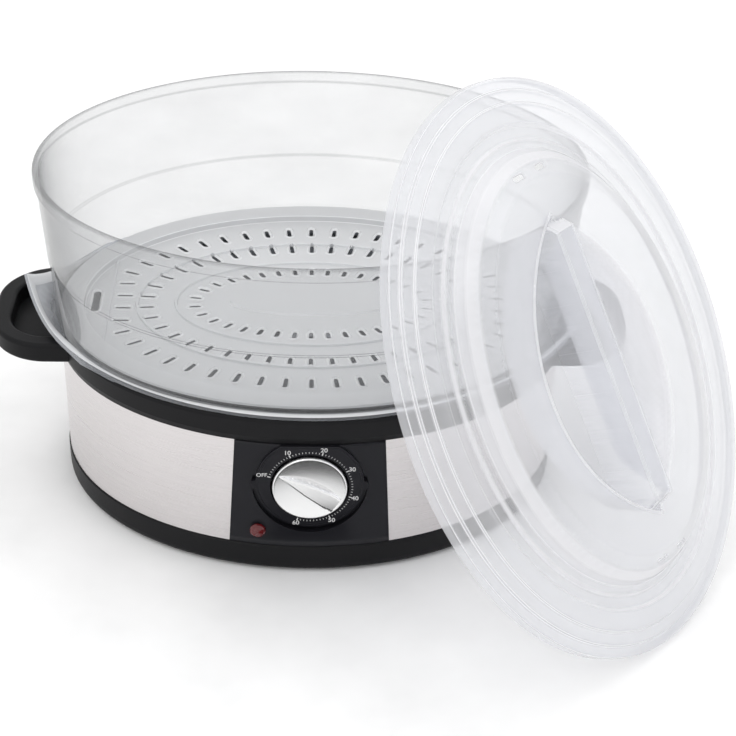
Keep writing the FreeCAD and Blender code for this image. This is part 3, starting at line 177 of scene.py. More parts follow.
def shader_tree(name):
    """New material, its node tree and its Principled node."""
    material = bpy.data.materials.new(name)
    material.use_nodes = True
    return material, material.node_tree, material.node_tree.nodes["Principled BSDF"]


def link_nodes(tree, kind, *pairs):
    """New node of this kind, with each (input, source) linked."""
    made = tree.nodes.new(kind)
    for socket, source in pairs:
        tree.links.new(source, made.inputs[socket])
    return made


def link_math(tree, operation, source, value=0.0):
    """One step of arithmetic on the source."""
    made = link_nodes(tree, "ShaderNodeMath", (0, source))
    made.operation = operation
    made.inputs[1].default_value = value
    return made.outputs["Value"]


def map_range(tree, source, start, end, low, high):
    """The source's start to end carried onto low to high, and held there beyond."""
    span = link_nodes(tree, "ShaderNodeMapRange", ("Value", source))
    for socket, value in (("From Min", start), ("From Max", end), ("To Min", low), ("To Max", high)):
        span.inputs[socket].default_value = value
    return span.outputs["Result"]


def mix_colours(tree, share, low, high):
    """Colour from low to high as the share goes from 0 to 1."""
    mix = tree.nodes.new("ShaderNodeMix")
    mix.data_type = "RGBA"
    mix.inputs["A"].default_value = (*low, 1)
    mix.inputs["B"].default_value = (*high, 1)
    tree.links.new(share, mix.inputs["Factor"])
    return mix.outputs["Result"]


def stretched_noise(tree, scale, detail=3.0):
    """Noise over the object's coordinates, with its own scale along each."""
    place = tree.nodes.new("ShaderNodeTexCoord")
    stretch = link_nodes(tree, "ShaderNodeMapping", ("Vector", place.outputs["Object"]))
    stretch.inputs["Scale"].default_value = scale
    noise = link_nodes(tree, "ShaderNodeTexNoise", ("Vector", stretch.outputs["Vector"]))
    noise.inputs["Scale"].default_value = 1.0
    noise.inputs["Detail"].default_value = detail
    noise.inputs["Roughness"].default_value = 0.6
    return noise.outputs["Fac"]


def spread(tree, noise, low, high):
    """The range where most of a noise lies, stretched to low to high."""
    return map_range(tree, noise, NOISE_LOW, NOISE_HIGH, low, high)


def tinted(tree, noise, dark, light):
    """Colour that wanders between dark and light with the noise."""
    return mix_colours(tree, spread(tree, noise, 0.0, 1.0), dark, light)


def add_bump(tree, shader, height, strength, depth):
    """Fine relief of this depth on the shader."""
    bump = link_nodes(tree, "ShaderNodeBump", ("Height", height))
    bump.inputs["Strength"].default_value = strength
    bump.inputs["Distance"].default_value = depth * MM
    tree.links.new(bump.outputs["Normal"], shader.inputs["Normal"])


def facing_power(tree, power, low, high):
    """From low where a face is seen square on to high where it is seen edge on."""
    edge = tree.nodes.new("ShaderNodeLayerWeight")
    edge.inputs["Blend"].default_value = 0.5
    return map_range(tree, link_math(tree, "POWER", edge.outputs["Facing"], power), 0.0, 1.0, low, high)


def add_share(tree, share, gain, plane, middle, reach):
    """The share, raised by up to gain on faces whose normal has about this much (middle) of the plane's.

    The gain falls to nothing at reach above and below the middle.
    """
    place = tree.nodes.new("ShaderNodeTexCoord")
    agree = link_nodes(tree, "ShaderNodeVectorMath", (0, place.outputs["Normal"]))
    agree.operation = "DOT_PRODUCT"
    agree.inputs[1].default_value = plane
    level = link_math(tree, "ABSOLUTE", agree.outputs["Value"])
    apart = link_math(tree, "ABSOLUTE", link_math(tree, "SUBTRACT", level, middle))
    extra = map_range(tree, apart, reach, 0.0, 0.0, gain)
    total = link_nodes(tree, "ShaderNodeMath", (0, share), (1, extra))
    total.operation = "ADD"
    total.use_clamp = True
    return total.outputs["Value"]


# ---------------------------------------------------------------- kinds of material
GRAIN_BUMP, GRAIN_GLOSS = 0.5, 0.1
BRUSH_BUMP, BRUSH_DEPTH, BRUSH_DARK, BRUSH_GLOSS = 0.25, 0.02, 0.93, (0.24, 0.38)
VEIL_DARK = 0.98
GLOSS_POWER, EDGE_GLOSS = 5.0, 0.9  # how the gloss on a sheet grows, and its share seen edge on


def solid_material(name, colour, roughness, metallic=0.0, grain_depth=0.03, vary=0.06,
                   specular=0.5, coat=0.0):
    """Opaque surface with a fine moulded or cast grain, and slight changes of colour and gloss."""
    material, tree, shader = shader_tree(name)
    grain = stretched_noise(tree, GRAIN)
    dark = [value * (1 - vary) for value in colour]
    light = [min(1.0, value * (1 + vary)) for value in colour]
    tree.links.new(tinted(tree, stretched_noise(tree, CLOUD), dark, light), shader.inputs["Base Color"])
    gloss = spread(tree, grain, roughness * (1 - GRAIN_GLOSS), roughness * (1 + GRAIN_GLOSS))
    tree.links.new(gloss, shader.inputs["Roughness"])
    shader.inputs["Metallic"].default_value = metallic
    shader.inputs["Specular IOR Level"].default_value = specular
    shader.inputs["Coat Weight"].default_value = coat
    add_bump(tree, shader, grain, GRAIN_BUMP, grain_depth)
    return material


def brushed_material(name, colour):
    """Steel sheet brushed level round the base."""
    material, tree, shader = shader_tree(name)
    lines = stretched_noise(tree, BRUSH_LINES, detail=2.0)
    dark = [value * BRUSH_DARK for value in colour]
    tree.links.new(tinted(tree, lines, dark, colour), shader.inputs["Base Color"])
    tree.links.new(spread(tree, lines, *BRUSH_GLOSS), shader.inputs["Roughness"])
    shader.inputs["Metallic"].default_value = 1.0
    shader.inputs["Anisotropic"].default_value = 0.5
    tangent = tree.nodes.new("ShaderNodeTangent")
    tangent.direction_type = "RADIAL"
    tangent.axis = "Z"
    tree.links.new(tangent.outputs["Tangent"], shader.inputs["Tangent"])
    add_bump(tree, shader, lines, BRUSH_BUMP, BRUSH_DEPTH)
    return material


def clear_layer(tree, tint, edge_tint, edge_power, dark):
    """What shows through a sheet: the tint, or where there is an edge_tint a mix of the two."""
    clear = tree.nodes.new("ShaderNodeBsdfTransparent")
    clear.inputs["Color"].default_value = (*tint, 1)
    if edge_tint:
        share = add_share(tree, facing_power(tree, edge_power, 0.0, 1.0), *dark)
        tree.links.new(mix_colours(tree, share, tint, edge_tint), clear.inputs["Color"])
    return clear.outputs["BSDF"]


def milky_layer(tree, shader, veil, roughness, back_light):
    """The milk in a sheet, with slight clouds, lit from in front and by back_light from behind."""
    cloud = stretched_noise(tree, SHEET_CLOUD)
    shade = tinted(tree, cloud, [value * VEIL_DARK for value in veil], veil)
    tree.links.new(shade, shader.inputs["Base Color"])
    shader.inputs["Roughness"].default_value = roughness
    through = link_nodes(tree, "ShaderNodeBsdfTranslucent", ("Color", shade))
    milk = link_nodes(tree, "ShaderNodeMixShader",
                      (1, shader.outputs["BSDF"]), (2, through.outputs["BSDF"]))
    milk.inputs["Fac"].default_value = back_light
    return milk.outputs["Shader"]


def sheet_material(name, tint, veil, body_share, edge_share, roughness, edge_power=2.0,
                   back_light=0.5, gloss_share=0.035, edge_tint=None, dark=None, extra=None):
    """See-through moulded sheet: a clear share, a milky share that grows where it is seen edge on, and gloss.

    tint is the colour of what shows through one face, and edge_tint the same where it is seen edge on. veil
    is the colour of the milky share, and back_light how much of that is lit from behind. extra is what the
    milky share gains on some faces, such as the slopes of small steps, and dark the same for how far the
    tint goes towards edge_tint: (gain, plane, middle, reach).
    """
    material, tree, shader = shader_tree(name)
    clear = clear_layer(tree, tint, edge_tint, edge_power, dark)
    milk = milky_layer(tree, shader, veil, roughness, back_light)
    share = facing_power(tree, edge_power, body_share, edge_share)
    if extra:
        share = add_share(tree, share, *extra)
    body = link_nodes(tree, "ShaderNodeMixShader", ("Fac", share), (1, clear), (2, milk))
    gloss = tree.nodes.new("ShaderNodeBsdfGlossy")
    gloss.inputs["Roughness"].default_value = roughness
    whole = link_nodes(tree, "ShaderNodeMixShader",
                       ("Fac", facing_power(tree, GLOSS_POWER, gloss_share, EDGE_GLOSS)),
                       (1, body.outputs["Shader"]), (2, gloss.outputs["BSDF"]))
    tree.links.new(whole.outputs["Shader"], tree.nodes["Material Output"].inputs["Surface"])
    return material


# ---------------------------------------------------------------- materials of this object
def clear_materials():
    """See-through plastics of the basket, collar, lid and tray."""
    return {
        "clear_plastic": sheet_material(
            "ClearPlastic", (0.925, 0.927, 0.93), (0.88, 0.885, 0.89), 0.03, 0.30, 0.06, edge_power=3.0,
            gloss_share=0.04, edge_tint=(0.38, 0.385, 0.39), dark=(0.52, UPWARD, 1.0, 0.8)),
        "milky_plastic": sheet_material(
            "MilkyPlastic", (0.975, 0.98, 0.99), (0.91, 0.91, 0.93), 0.34, 0.75, 0.22),
        "lid_plastic": sheet_material(
            "LidPlastic", (0.975, 0.98, 0.992), (0.95, 0.95, 0.965), 0.26, 0.70, 0.22,
            extra=(0.6, LID_FACES, 0.66, 0.28)),
        "tray_plastic": sheet_material(
            "TrayPlastic", (0.95, 0.965, 0.98), (0.94, 0.945, 0.955), 0.62, 0.85, 0.14, back_light=0.2,
            extra=(0.35, UPWARD, 0.62, 0.33)),
        "tray_clear": sheet_material(
            "TrayClear", (0.88, 0.90, 0.925), (0.78, 0.79, 0.82), 0.10, 0.7, 0.10, back_light=0.3,
            extra=(0.40, UPWARD, 0.62, 0.35)),
        "tray_edge": sheet_material(
            "TrayEdge", (0.93, 0.94, 0.95), (0.94, 0.945, 0.955), 0.82, 0.92, 0.14, back_light=0.2),
    }


def metal_materials():
    """Steel, brass and the knob's silver coating."""
    return {
        "brushed_steel": brushed_material("BrushedSteel", (0.72, 0.69, 0.69)),
        "bright_steel": solid_material("BrightSteel", (0.72, 0.71, 0.70), 0.22, 1.0, grain_depth=0.01),
        "zinc_steel": solid_material("ZincSteel", (0.55, 0.56, 0.57), 0.38, 1.0),
        "brass": solid_material("Brass", (0.70, 0.52, 0.24), 0.30, 1.0),
        "silver_knob": solid_material("SilverKnob", (0.86, 0.86, 0.86), 0.24, 1.0, grain_depth=0.001,
                                      vary=0.02),
    }


def opaque_materials():
    """Black plastics, lamp, rubbers, small mouldings and the white print."""
    return {
        "black_plastic": solid_material("BlackPlastic", (0.009, 0.009, 0.010), 0.42, specular=0.12),
        "panel_black": solid_material("PanelBlack", (0.011, 0.011, 0.014), 0.34, grain_depth=0.01,
                                      specular=0.16),
        "red_lens": solid_material("RedLens", (0.10, 0.004, 0.006), 0.18, grain_depth=0.0, coat=0.3),
        "lamp_glass": solid_material("LampGlass", (0.8, 0.7, 0.6), 0.1, grain_depth=0.0),
        "seal_rubber": solid_material("SealRubber", (0.40, 0.09, 0.05), 0.7),
        "foot_rubber": solid_material("FootRubber", (0.02, 0.02, 0.02), 0.75, grain_depth=0.06),
        "wire_insulation": solid_material("WireInsulation", (0.72, 0.70, 0.64), 0.6),
        "block_plastic": solid_material("BlockPlastic", (0.76, 0.75, 0.70), 0.5),
        "print_white": solid_material("PrintWhite", (0.56, 0.56, 0.56), 0.6, grain_depth=0.0),
    }


def dress_frame(materials):
    """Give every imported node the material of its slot."""
    for part in frame["record"]["subparts"]:
        mesh = NODES[part["node"]].data
        mesh.materials.clear()
        mesh.materials.append(materials[part["material_slot"]])


# ---------------------------------------------------------------- meshes
ROUND_SHARE = 0.45  # the most of a side that one rounded corner takes up
FILL_ROWS, FILL_INSIDE = 0.87, 0.98  # rows of filling points to a spacing, and how near an oval they go
INSET_HALVINGS = 40
SAME_POINT = 1e-5  # points of a sheet's plan nearer than this become one


def to_mesh(name, points, faces):
    """New object from points in millimetres and faces of point numbers."""
    mesh = bpy.data.meshes.new(name)
    mesh.from_pydata([tuple(value * MM for value in point) for point in points], [], faces)
    mesh.validate()
    obj = bpy.data.objects.new(name, mesh)
    bpy.context.scene.collection.objects.link(obj)
    return obj


def settle(obj, thickness=0.0):
    """Turn a sheet into a solid of this thickness below it, and shade it smooth with crisp edges."""
    if thickness:
        solid = obj.modifiers.new("Thickness", "SOLIDIFY")
        solid.thickness = thickness * MM
        solid.offset = -1
    graph = bpy.context.evaluated_depsgraph_get()
    mesh = bpy.data.meshes.new_from_object(obj.evaluated_get(graph))
    obj.modifiers.clear()
    obj.data = mesh
    mesh.shade_smooth()
    mesh.set_sharp_from_angle(angle=EDGE_ANGLE)
    return obj


def add_piece(obj, material, slot, body, *nodes):
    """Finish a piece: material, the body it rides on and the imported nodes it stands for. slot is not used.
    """
    obj.data.materials.clear()
    obj.data.materials.append(material)
    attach(obj, body)
    if nodes:
        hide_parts(*nodes)


def leave_corner(corner, other, radius):
    """Where a rounding of about this radius meets the side from the corner to the other point."""
    side = other - corner
    length = np.linalg.norm(side)
    return corner + side * (min(radius, length * ROUND_SHARE) / length)


def rounded(corners, radius, steps=4):
    """Open outline with each inner corner rounded by a short curve of about that radius."""
    points = [np.array(corner, float) for corner in corners]
    line = [points[0]]
    for before, corner, after in zip(points, points[1:], points[2:]):
        start, end = leave_corner(corner, before, radius), leave_corner(corner, after, radius)
        for step in range(steps + 1):
            t = step / steps
            line.append(start * (1 - t) ** 2 + corner * 2 * t * (1 - t) + end * t ** 2)
    line.append(points[-1])
    return line


def rounded_profile(corners, radius, steps=4):
    """Rounded profile as two arrays, such as insets and heights."""
    return np.array(rounded(corners, radius, steps)).T


def oval_ring(half_x, half_y, count=AROUND):
    """Points round an oval."""
    return [(half_x * math.cos(2 * math.pi * i / count), half_y * math.sin(2 * math.pi * i / count))
            for i in range(count)]


def lens_ring(radius, shift, count):
    """Outline of what two circles of this radius share, with their middles shifted to +Y and -Y."""
    span = math.atan2(math.sqrt(radius ** 2 - shift ** 2), shift)
    ring = []
    for side in (1, -1):
        for step in range(count):
            angle = span * (1 - 2 * step / count)
            ring.append((side * radius * math.sin(angle), side * (radius * math.cos(angle) - shift)))
    return ring


def ring_faces(rows, count):
    """Faces between closed rows of this many points, with the last row joined to the first."""
    faces = []
    for row in range(rows):
        here, above = row * count, (row + 1) % rows * count
        for i in range(count):
            beside = (i + 1) % count
            faces.append((here + i, here + beside, above + beside, above + i))
    return faces


def oval_solid(name, half_x, half_y, outline, radius):
    """Closed ring solid: the outline's (inset, z) corners, rounded, carried round an oval."""
    line = rounded(outline + outline[:2], radius)[1:-1]
    points = [(x, y, z) for inset, z in line for x, y in oval_ring(half_x - inset, half_y - inset)]
    return to_mesh(name, points, ring_faces(len(line), AROUND))


def oval_inset(x, y, half_x, half_y):
    """How far inside the oval each point lies: the inset whose smaller oval passes through it."""
    low = np.full(x.shape, -half_y * 0.9)
    high = np.full(x.shape, half_y - 1e-6)
    for _ in range(INSET_HALVINGS):
        middle = (low + high) / 2
        outside = (x / (half_x - middle)) ** 2 + (y / (half_y - middle)) ** 2 > 1
        high = np.where(outside, middle, high)
        low = np.where(outside, low, middle)
    return (low + high) / 2


def fill_points(half_x, half_y, spacing):
    """Even points inside an oval, in staggered rows."""
    points = []
    for row in range(-int(half_y / spacing), int(half_y / spacing) + 1):
        shift = spacing / 2 if row % 2 else 0.0
        for column in range(-int(half_x / spacing) - 1, int(half_x / spacing) + 2):
            x, y = column * spacing + shift, row * spacing * FILL_ROWS
            if (x / half_x) ** 2 + (y / half_y) ** 2 < FILL_INSIDE:
                points.append((x, y))
    return points


def sheet(name, outlines, height, cut_out, extra=()):
    """Sheet over the plan inside the widest outline, with an edge along every outline.

    height(x, y) gives z for arrays of points, and cut_out(x, y) is true where there is no sheet.
    """
    plan, edges = [], []
    for outline in outlines:
        first, count = len(plan), len(outline)
        plan += outline
        edges += [(first + i, first + (i + 1) % count) for i in range(count)]
    plan += list(extra)
    result = geometry.delaunay_2d_cdt([Vector(point) for point in plan], edges, [], 0, SAME_POINT)
    flat = np.array([tuple(vertex) for vertex in result[0]])
    triangles = np.array(result[2])
    middle = flat[triangles].mean(axis=1)
    triangles = triangles[~cut_out(middle[:, 0], middle[:, 1])]
    points = np.column_stack([flat, height(flat[:, 0], flat[:, 1])])
    used = np.unique(triangles)
    renumber = np.zeros(len(points), int)
    renumber[used] = np.arange(len(used))
    return to_mesh(name, points[used], renumber[triangles].tolist())


# ---------------------------------------------------------------- basket wall
REBATE_WIDE, REBATE_HIGH = 4.5, 0.95  # under the wall's foot, to clear the tray's rolled edge
# Corners (inset, height) from the foot up the outside, over the lip, down the inside and round the ledge.
BOWL_PROFILE = ((0, REBATE_HIGH), (-1.1, 38.5), (-2, 39.3), (-5, BOWL_RISE - 7.8), (-6.3, BOWL_RISE - 7.3),
                (-BOWL_OUT, BOWL_RISE - 6.4), (-BOWL_OUT, BOWL_RISE - 1.4), (-6.2, BOWL_RISE - 0.4),
                (-5.3, BOWL_RISE), (-3.6, BOWL_RISE), (-3, BOWL_RISE - 1), (-3, BOWL_RISE - 7.8),
                (0, 39.3), (0.9, 38.5), (2, 1.8), (14.1, 1.8), (14.1, 0),
                (REBATE_WIDE, 0), (REBATE_WIDE, REBATE_HIGH))
BOWL_ROUNDING = 0.7


def basket_wall(materials):
    """Clear wall with a step a third of the way up, a thick rolled lip and a ledge at its foot."""
    outline = [(inset, BOWL_Z + up) for inset, up in BOWL_PROFILE]
    wall = settle(oval_solid("BasketWall", BOWL_X, BOWL_Y, outline, BOWL_ROUNDING))
    add_piece(wall, materials["clear_plastic"], "clear_plastic", "basket", "basket_wall")


# ---------------------------------------------------------------- round-ended slots
OVAL_SAMPLES = 1440


def oval_stations(half_x, half_y, pitch):
    """Angles that divide an oval into equal lengths of about pitch."""
    middle = (np.arange(OVAL_SAMPLES) + 0.5) * 2 * math.pi / OVAL_SAMPLES
    speed = np.hypot(half_x * np.sin(middle), half_y * np.cos(middle)) * 2 * math.pi / OVAL_SAMPLES
    lengths = np.concatenate([[0.0], np.cumsum(speed)])
    count = 2 * round(lengths[-1] / pitch / 2)
    goals = lengths[-1] * (np.arange(count) + 0.5) / count
    return [2 * math.pi * int(np.searchsorted(lengths, goal)) / OVAL_SAMPLES for goal in goals]


def slot_ring(slot, grow, steps=6):
    """Outline of a round-ended slot, grown all round."""
    x, y, turn, length, width = slot
    half, radius = (length - width) / 2, width / 2 + grow
    ring = []
    for end in (1, -1):
        for step in range(steps + 1):
            angle = -math.pi / 2 + math.pi * step / steps + (0 if end > 0 else math.pi)
            along, across = end * half + radius * math.cos(angle), radius * math.sin(angle)
            ring.append((x + along * math.cos(turn) - across * math.sin(turn),
                         y + along * math.sin(turn) + across * math.cos(turn)))
    return ring


def slot_distance(x, y, slots):
    """Distance from the nearest slot's edge, negative inside a slot."""
    nearest = np.full(x.shape, np.inf)
    for slot_x, slot_y, turn, length, width in slots:
        along = (x - slot_x) * math.cos(turn) + (y - slot_y) * math.sin(turn)
        across = -(x - slot_x) * math.sin(turn) + (y - slot_y) * math.cos(turn)
        over = np.maximum(np.abs(along) - (length - width) / 2, 0)
        nearest = np.minimum(nearest, np.hypot(over, across) - width / 2)
    return nearest


# ---------------------------------------------------------------- basket floor
# Rings of steam slots: inset from the floor's oval, pitch, slot length.
SLOT_RINGS = ((17.5, 14.0, 11.5), (39.0, 12.0, 10.5), (67.0, 10.0, 9.0))
SLOT_WIDE, SLOT_LIP, SLOT_LIP_HIGH = 4.5, 0.9, 0.8
CHORD_IN, CHORD_CLEAR = 17.0, 2.5  # the straight ridge at each end, and how far the slots keep off it
CHORD_X = FLOOR_X - CHORD_IN
CHORD_TOP, CHORD_FOOT, CHORD_STOP = 0.5, 0.9, 2  # its half widths, and how far short of the rim it ends
CHORD_MARKS = (CHORD_X - CHORD_FOOT, CHORD_X - CHORD_TOP, CHORD_X + CHORD_TOP, CHORD_X + CHORD_FOOT)
END_HOLE_LONG, END_HOLE_WIDE, END_HOLE_OUT = 25.0, 6.4, 8.5
RIDGE_INSETS, RIDGE_WIDE, RIDGE_HIGH, RIDGE_SLOPE = (32.0, 55.0), 2.2, 1.2, 0.4
RIDGE_MARKS = [(inset, inset + RIDGE_SLOPE, inset + RIDGE_WIDE - RIDGE_SLOPE, inset + RIDGE_WIDE)
               for inset in RIDGE_INSETS]
MEDALLION_IN, MEDALLION_SLOPE = 88.0, 0.8  # the raised middle
MEDALLION_MARKS = (MEDALLION_IN, MEDALLION_IN + MEDALLION_SLOPE)
FLOOR_STEP_IN = FLOOR_SHEET + 0.5
FLOOR_FLAT_IN = 20.0  # from this inset on, the profile is flat
FLOOR_INSETS, FLOOR_HEIGHTS = rounded_profile(
    ((-FLOOR_LIP, FLOOR_LIP_Z), (FLOOR_SHEET, FLOOR_LIP_Z),
     (FLOOR_STEP_IN, FLOOR_Z), (FLOOR_Y, FLOOR_Z)), 0.8)
FLOOR_THICK = FLOOR_SHEET - 0.2


def slot_places():
    """Every slot as (x, y, turn, length, width): an end hole at each end, then the rings."""
    end = CHORD_X + END_HOLE_OUT
    slots = [(side * end, 0.0, math.pi / 2, END_HOLE_LONG, END_HOLE_WIDE) for side in (-1, 1)]
    for inset, pitch, length in SLOT_RINGS:
        half_x, half_y = FLOOR_X - inset, FLOOR_Y - inset
        for angle in oval_stations(half_x, half_y, pitch):
            x, y, turn = half_x * math.cos(angle), half_y * math.sin(angle), angle
            limit = CHORD_X - length / 2 - CHORD_CLEAR
            if abs(x) > limit:
                x, turn = math.copysign(limit, x), 0.0
            slots.append((x, y, turn, length, SLOT_WIDE))
    return slots


def ridge(values, marks):
    """1 between the two middle marks, and down to 0 at the outer ones."""
    return np.interp(values, marks, (0, 1, 1, 0), 0, 0)


def floor_height(x, y, slots):
    """Height over the floor's plan: lip and flat, oval ridges, raised middle, end ridges and slot beads."""
    inset = oval_inset(x, y, FLOOR_X, FLOOR_Y)
    z = np.interp(inset, FLOOR_INSETS, FLOOR_HEIGHTS)
    for marks in RIDGE_MARKS:
        z += RIDGE_HIGH * ridge(inset, marks)
    z += RIDGE_HIGH * np.interp(inset, MEDALLION_MARKS, (0, 1))
    z += RIDGE_HIGH * ridge(np.abs(x), CHORD_MARKS) * (inset > FLOOR_STEP_IN)
    return z + SLOT_LIP_HIGH * np.clip(1 - slot_distance(x, y, slots) / SLOT_LIP, 0, 1)


def floor_outlines(slots):
    """Every line of the floor that has to come out crisp."""
    marks = [inset for inset in FLOOR_INSETS if inset < FLOOR_FLAT_IN]
    for ridge_marks in (*RIDGE_MARKS, MEDALLION_MARKS):
        marks += ridge_marks
    outlines = [oval_ring(FLOOR_X - inset, FLOOR_Y - inset) for inset in marks]
    long = FLOOR_Y * math.sqrt(1 - (CHORD_X / FLOOR_X) ** 2) - CHORD_STOP
    for side in (-1, 1):
        for half in (CHORD_TOP, CHORD_FOOT):
            left, right = side * CHORD_X - half, side * CHORD_X + half
            outlines.append([(left, -long), (right, -long), (right, long), (left, long)])
    return outlines + [slot_ring(slot, grow) for slot in slots for grow in (0, SLOT_LIP)]


def basket_floor(materials):
    """Slotted floor with a lip on the wall's ledge, ridges, a raised middle and a bead round every slot."""
    slots = slot_places()
    floor = sheet("BasketFloor", floor_outlines(slots), lambda x, y: floor_height(x, y, slots),
                  lambda x, y: slot_distance(x, y, slots) < 0)
    settle(floor, FLOOR_THICK)
    add_piece(floor, materials["tray_plastic"], "tray_plastic", "basket", "basket_floor")


# ---------------------------------------------------------------- drip tray
FLANGE_X, FLANGE_Y = BOWL_X + 1.2, BOWL_Y + 1.2
# The plan is what two circles share, whose middles lie TRAY_SHIFT to each side.
TRAY_SHIFT = (TRAY_TIP ** 2 - TRAY_HALF_Y ** 2) / (2 * TRAY_HALF_Y)
TRAY_ARC = TRAY_SHIFT + TRAY_HALF_Y
TRAY_RINGS = (0, 2, 4, 9, 15, 22)  # lines of the plan that run along its outline, this far inside it
EDGE_WIDE, EDGE_HIGH, EDGE_IN, EDGE_ROWS = 4.2, 1.0, 0.02, 9
EAR_RUN, EAR_RISE = TRAY_TIP - FLANGE_X, TRAY_HIGH[2] - TRAY_TOP - EDGE_HIGH
# Up the flared ends: how far out and how high, as shares of the reach and the rise.
EAR_SHARES = ((0, 0), (0.16, 0.03), (0.38, 0.19), (0.64, 0.47), (0.84, 0.74), (1, 1))
EAR_OUT, EAR_UP = rounded_profile([(out * EAR_RUN, up * EAR_RISE) for out, up in EAR_SHARES], 2.0)
BASIN_X, BASIN_Y, BASIN_FLOOR = 138.6, 107.6, TRAY_TOP - BASIN_DEPTH
BASIN_IN, BASIN_Z = rounded_profile(
    ((-60, TRAY_TOP), (TRAY_SHEET, TRAY_TOP), (4.3, BASIN_FLOOR), (BASIN_Y, BASIN_FLOOR)), 1.6)
VENT_X, VENT_Y, VENT_HIGH = 44.2, 28.2, 4.7
VENT_MARKS, VENT_UP = (-2.3, -1.8, 0), (0, VENT_HIGH, VENT_HIGH)
VENT_CUT = 0.999  # the opening is cut just inside its own outline
TRAY_FILL, TRAY_FILL_IN_X, TRAY_FILL_IN_Y = 7, 6, 4
TRAY_POINTS = 160  # points along each half of the tray's outline


def tray_outline(shrink):
    """The tray's plan, this far inside its outline."""
    return lens_ring(TRAY_ARC - shrink, TRAY_SHIFT, TRAY_POINTS)


def tray_height(x, y):
    """Height over the tray's plan: the basin, the flared ears and the collar round the steam opening."""
    beyond = -oval_inset(x, y, FLANGE_X, FLANGE_Y)
    z = np.interp(oval_inset(x, y, BASIN_X, BASIN_Y), BASIN_IN, BASIN_Z)
    z += np.interp(beyond, EAR_OUT, EAR_UP)
    return z + np.interp(oval_inset(x, y, VENT_X, VENT_Y), VENT_MARKS, VENT_UP)


def tray_edge():
    """Thick rolled edge that lies on the tray all the way round, half round in section."""
    points = []
    for angle in np.linspace(0, math.pi, EDGE_ROWS):
        outline = tray_outline(EDGE_WIDE / 2 * (1 - math.cos(angle)) + EDGE_IN)
        x, y = np.array(outline).T
        points += zip(x, y, tray_height(x, y) + EDGE_HIGH * math.sin(angle))
    return to_mesh("TrayEdge", points, ring_faces(EDGE_ROWS, len(outline)))


def drip_tray(materials):
    """Tray with a flange, a shallow basin, a raised steam opening and a scooped ear at each end."""
    outlines = [tray_outline(shrink) for shrink in TRAY_RINGS]
    outlines += [oval_ring(BASIN_X - inset, BASIN_Y - inset) for inset in BASIN_IN[1:-1]]
    outlines += [oval_ring(VENT_X - inset, VENT_Y - inset) for inset in VENT_MARKS]
    outlines.append(oval_ring(FLANGE_X, FLANGE_Y))
    tray = sheet("DripTray", outlines, tray_height,
                 lambda x, y: (x / VENT_X) ** 2 + (y / VENT_Y) ** 2 < VENT_CUT,
                 fill_points(TRAY_TIP - TRAY_FILL_IN_X, TRAY_HALF_Y - TRAY_FILL_IN_Y, TRAY_FILL))
    settle(tray, TRAY_SHEET)
    add_piece(tray, materials["tray_clear"], "tray_plastic", "tray", "drip_tray")
    add_piece(settle(tray_edge()), materials["tray_edge"], "tray_plastic", "tray")


# ---------------------------------------------------------------- lid
LID_X, LID_Y, LID_WALL, LID_LIP = 161.4, 127.4, 2.0, 4.5
DOME_RISE, DOME_IN = 23.0, 39.0
# The stepped rings and the dome, as (inset, height) corners from the lip inwards.
LID_PROFILE = ((0, -LID_LIP), (0.12, 0.6), (0.7, 2), (6.5, 2), (7.3, 4.2), (14, 4.4), (14.8, 6.2),
               (25.5, 6.4), (27.5, 4), (33, 4), (35, 6.2), (DOME_IN, 7.4), (DOME_IN + 3, DOME_RISE * 0.55),
               (DOME_IN + 8, DOME_RISE * 0.78), (DOME_IN + 17, DOME_RISE * 0.93),
               (DOME_IN + 32, DOME_RISE), (LID_Y, DOME_RISE))
LID_INSETS, LID_HEIGHTS = rounded_profile(LID_PROFILE, 0.9, 3)
RINGS_IN = DOME_IN + 20  # no lines of the plan follow the rings further in than this
SCOOP_LONG, SCOOP_WIDE, SCOOP_WALL = 86.0, 48.0, 2.4
SCOOP_ARC = (SCOOP_LONG ** 2 + SCOOP_WIDE ** 2) / (2 * SCOOP_WIDE)
SCOOP_SHIFT = SCOOP_ARC - SCOOP_WIDE
WALL_MARKS, WALL_SUNK = (0, 0.5, SCOOP_WALL - 0.5, SCOOP_WALL), (0, 0.06, 0.94, 1)
FAR_SLOPE = 20.0  # how wide the gentle side of the scoop is, on the far side of the bar
LINE_MARKS, LINE_HIGH = (-1.8, -0.9, 0), 0.8  # a low bead along the crisp side of the scoop
BAR_WIDE, BAR_TOP, BAR_SIDE = 17.0, 29.0, 1.0
BAR_ENDS = ((77.0, BAR_TOP), (85.0, 18.4), (86.0, -9.0))
BAR_END_U, BAR_END_Z = np.array(BAR_ENDS).T
BAR_STATIONS = (76.0, 77.0, 85.0, 86.0)
BAR_EDGE = BAR_WIDE / 2 - BAR_SIDE
# Across half of the bar: a bead along its edge, then its wall.
BAR_MARKS = (BAR_EDGE - 2.4, BAR_EDGE - 1.5, BAR_EDGE - 0.6, BAR_EDGE, BAR_WIDE / 2)
BAR_DROP = (0.6, 0, 0.6, 1.0, BAR_TOP + 12)
LID_VENTS = [(side * (LID_X - DOME_IN - 12), across, math.pi / 2, 9.0, 3.0)
             for side in (-1, 1) for across in (-9, 9)]
DOME_FILL, BAR_END_FILL = 2.4, 1.0
FILL_MARGIN, FILL_ASIDE = 4, 3  # how far the filling points keep from the dome's edge, or pass the bar
SCOOP_POINTS = 120  # points along each half of a scoop's outline


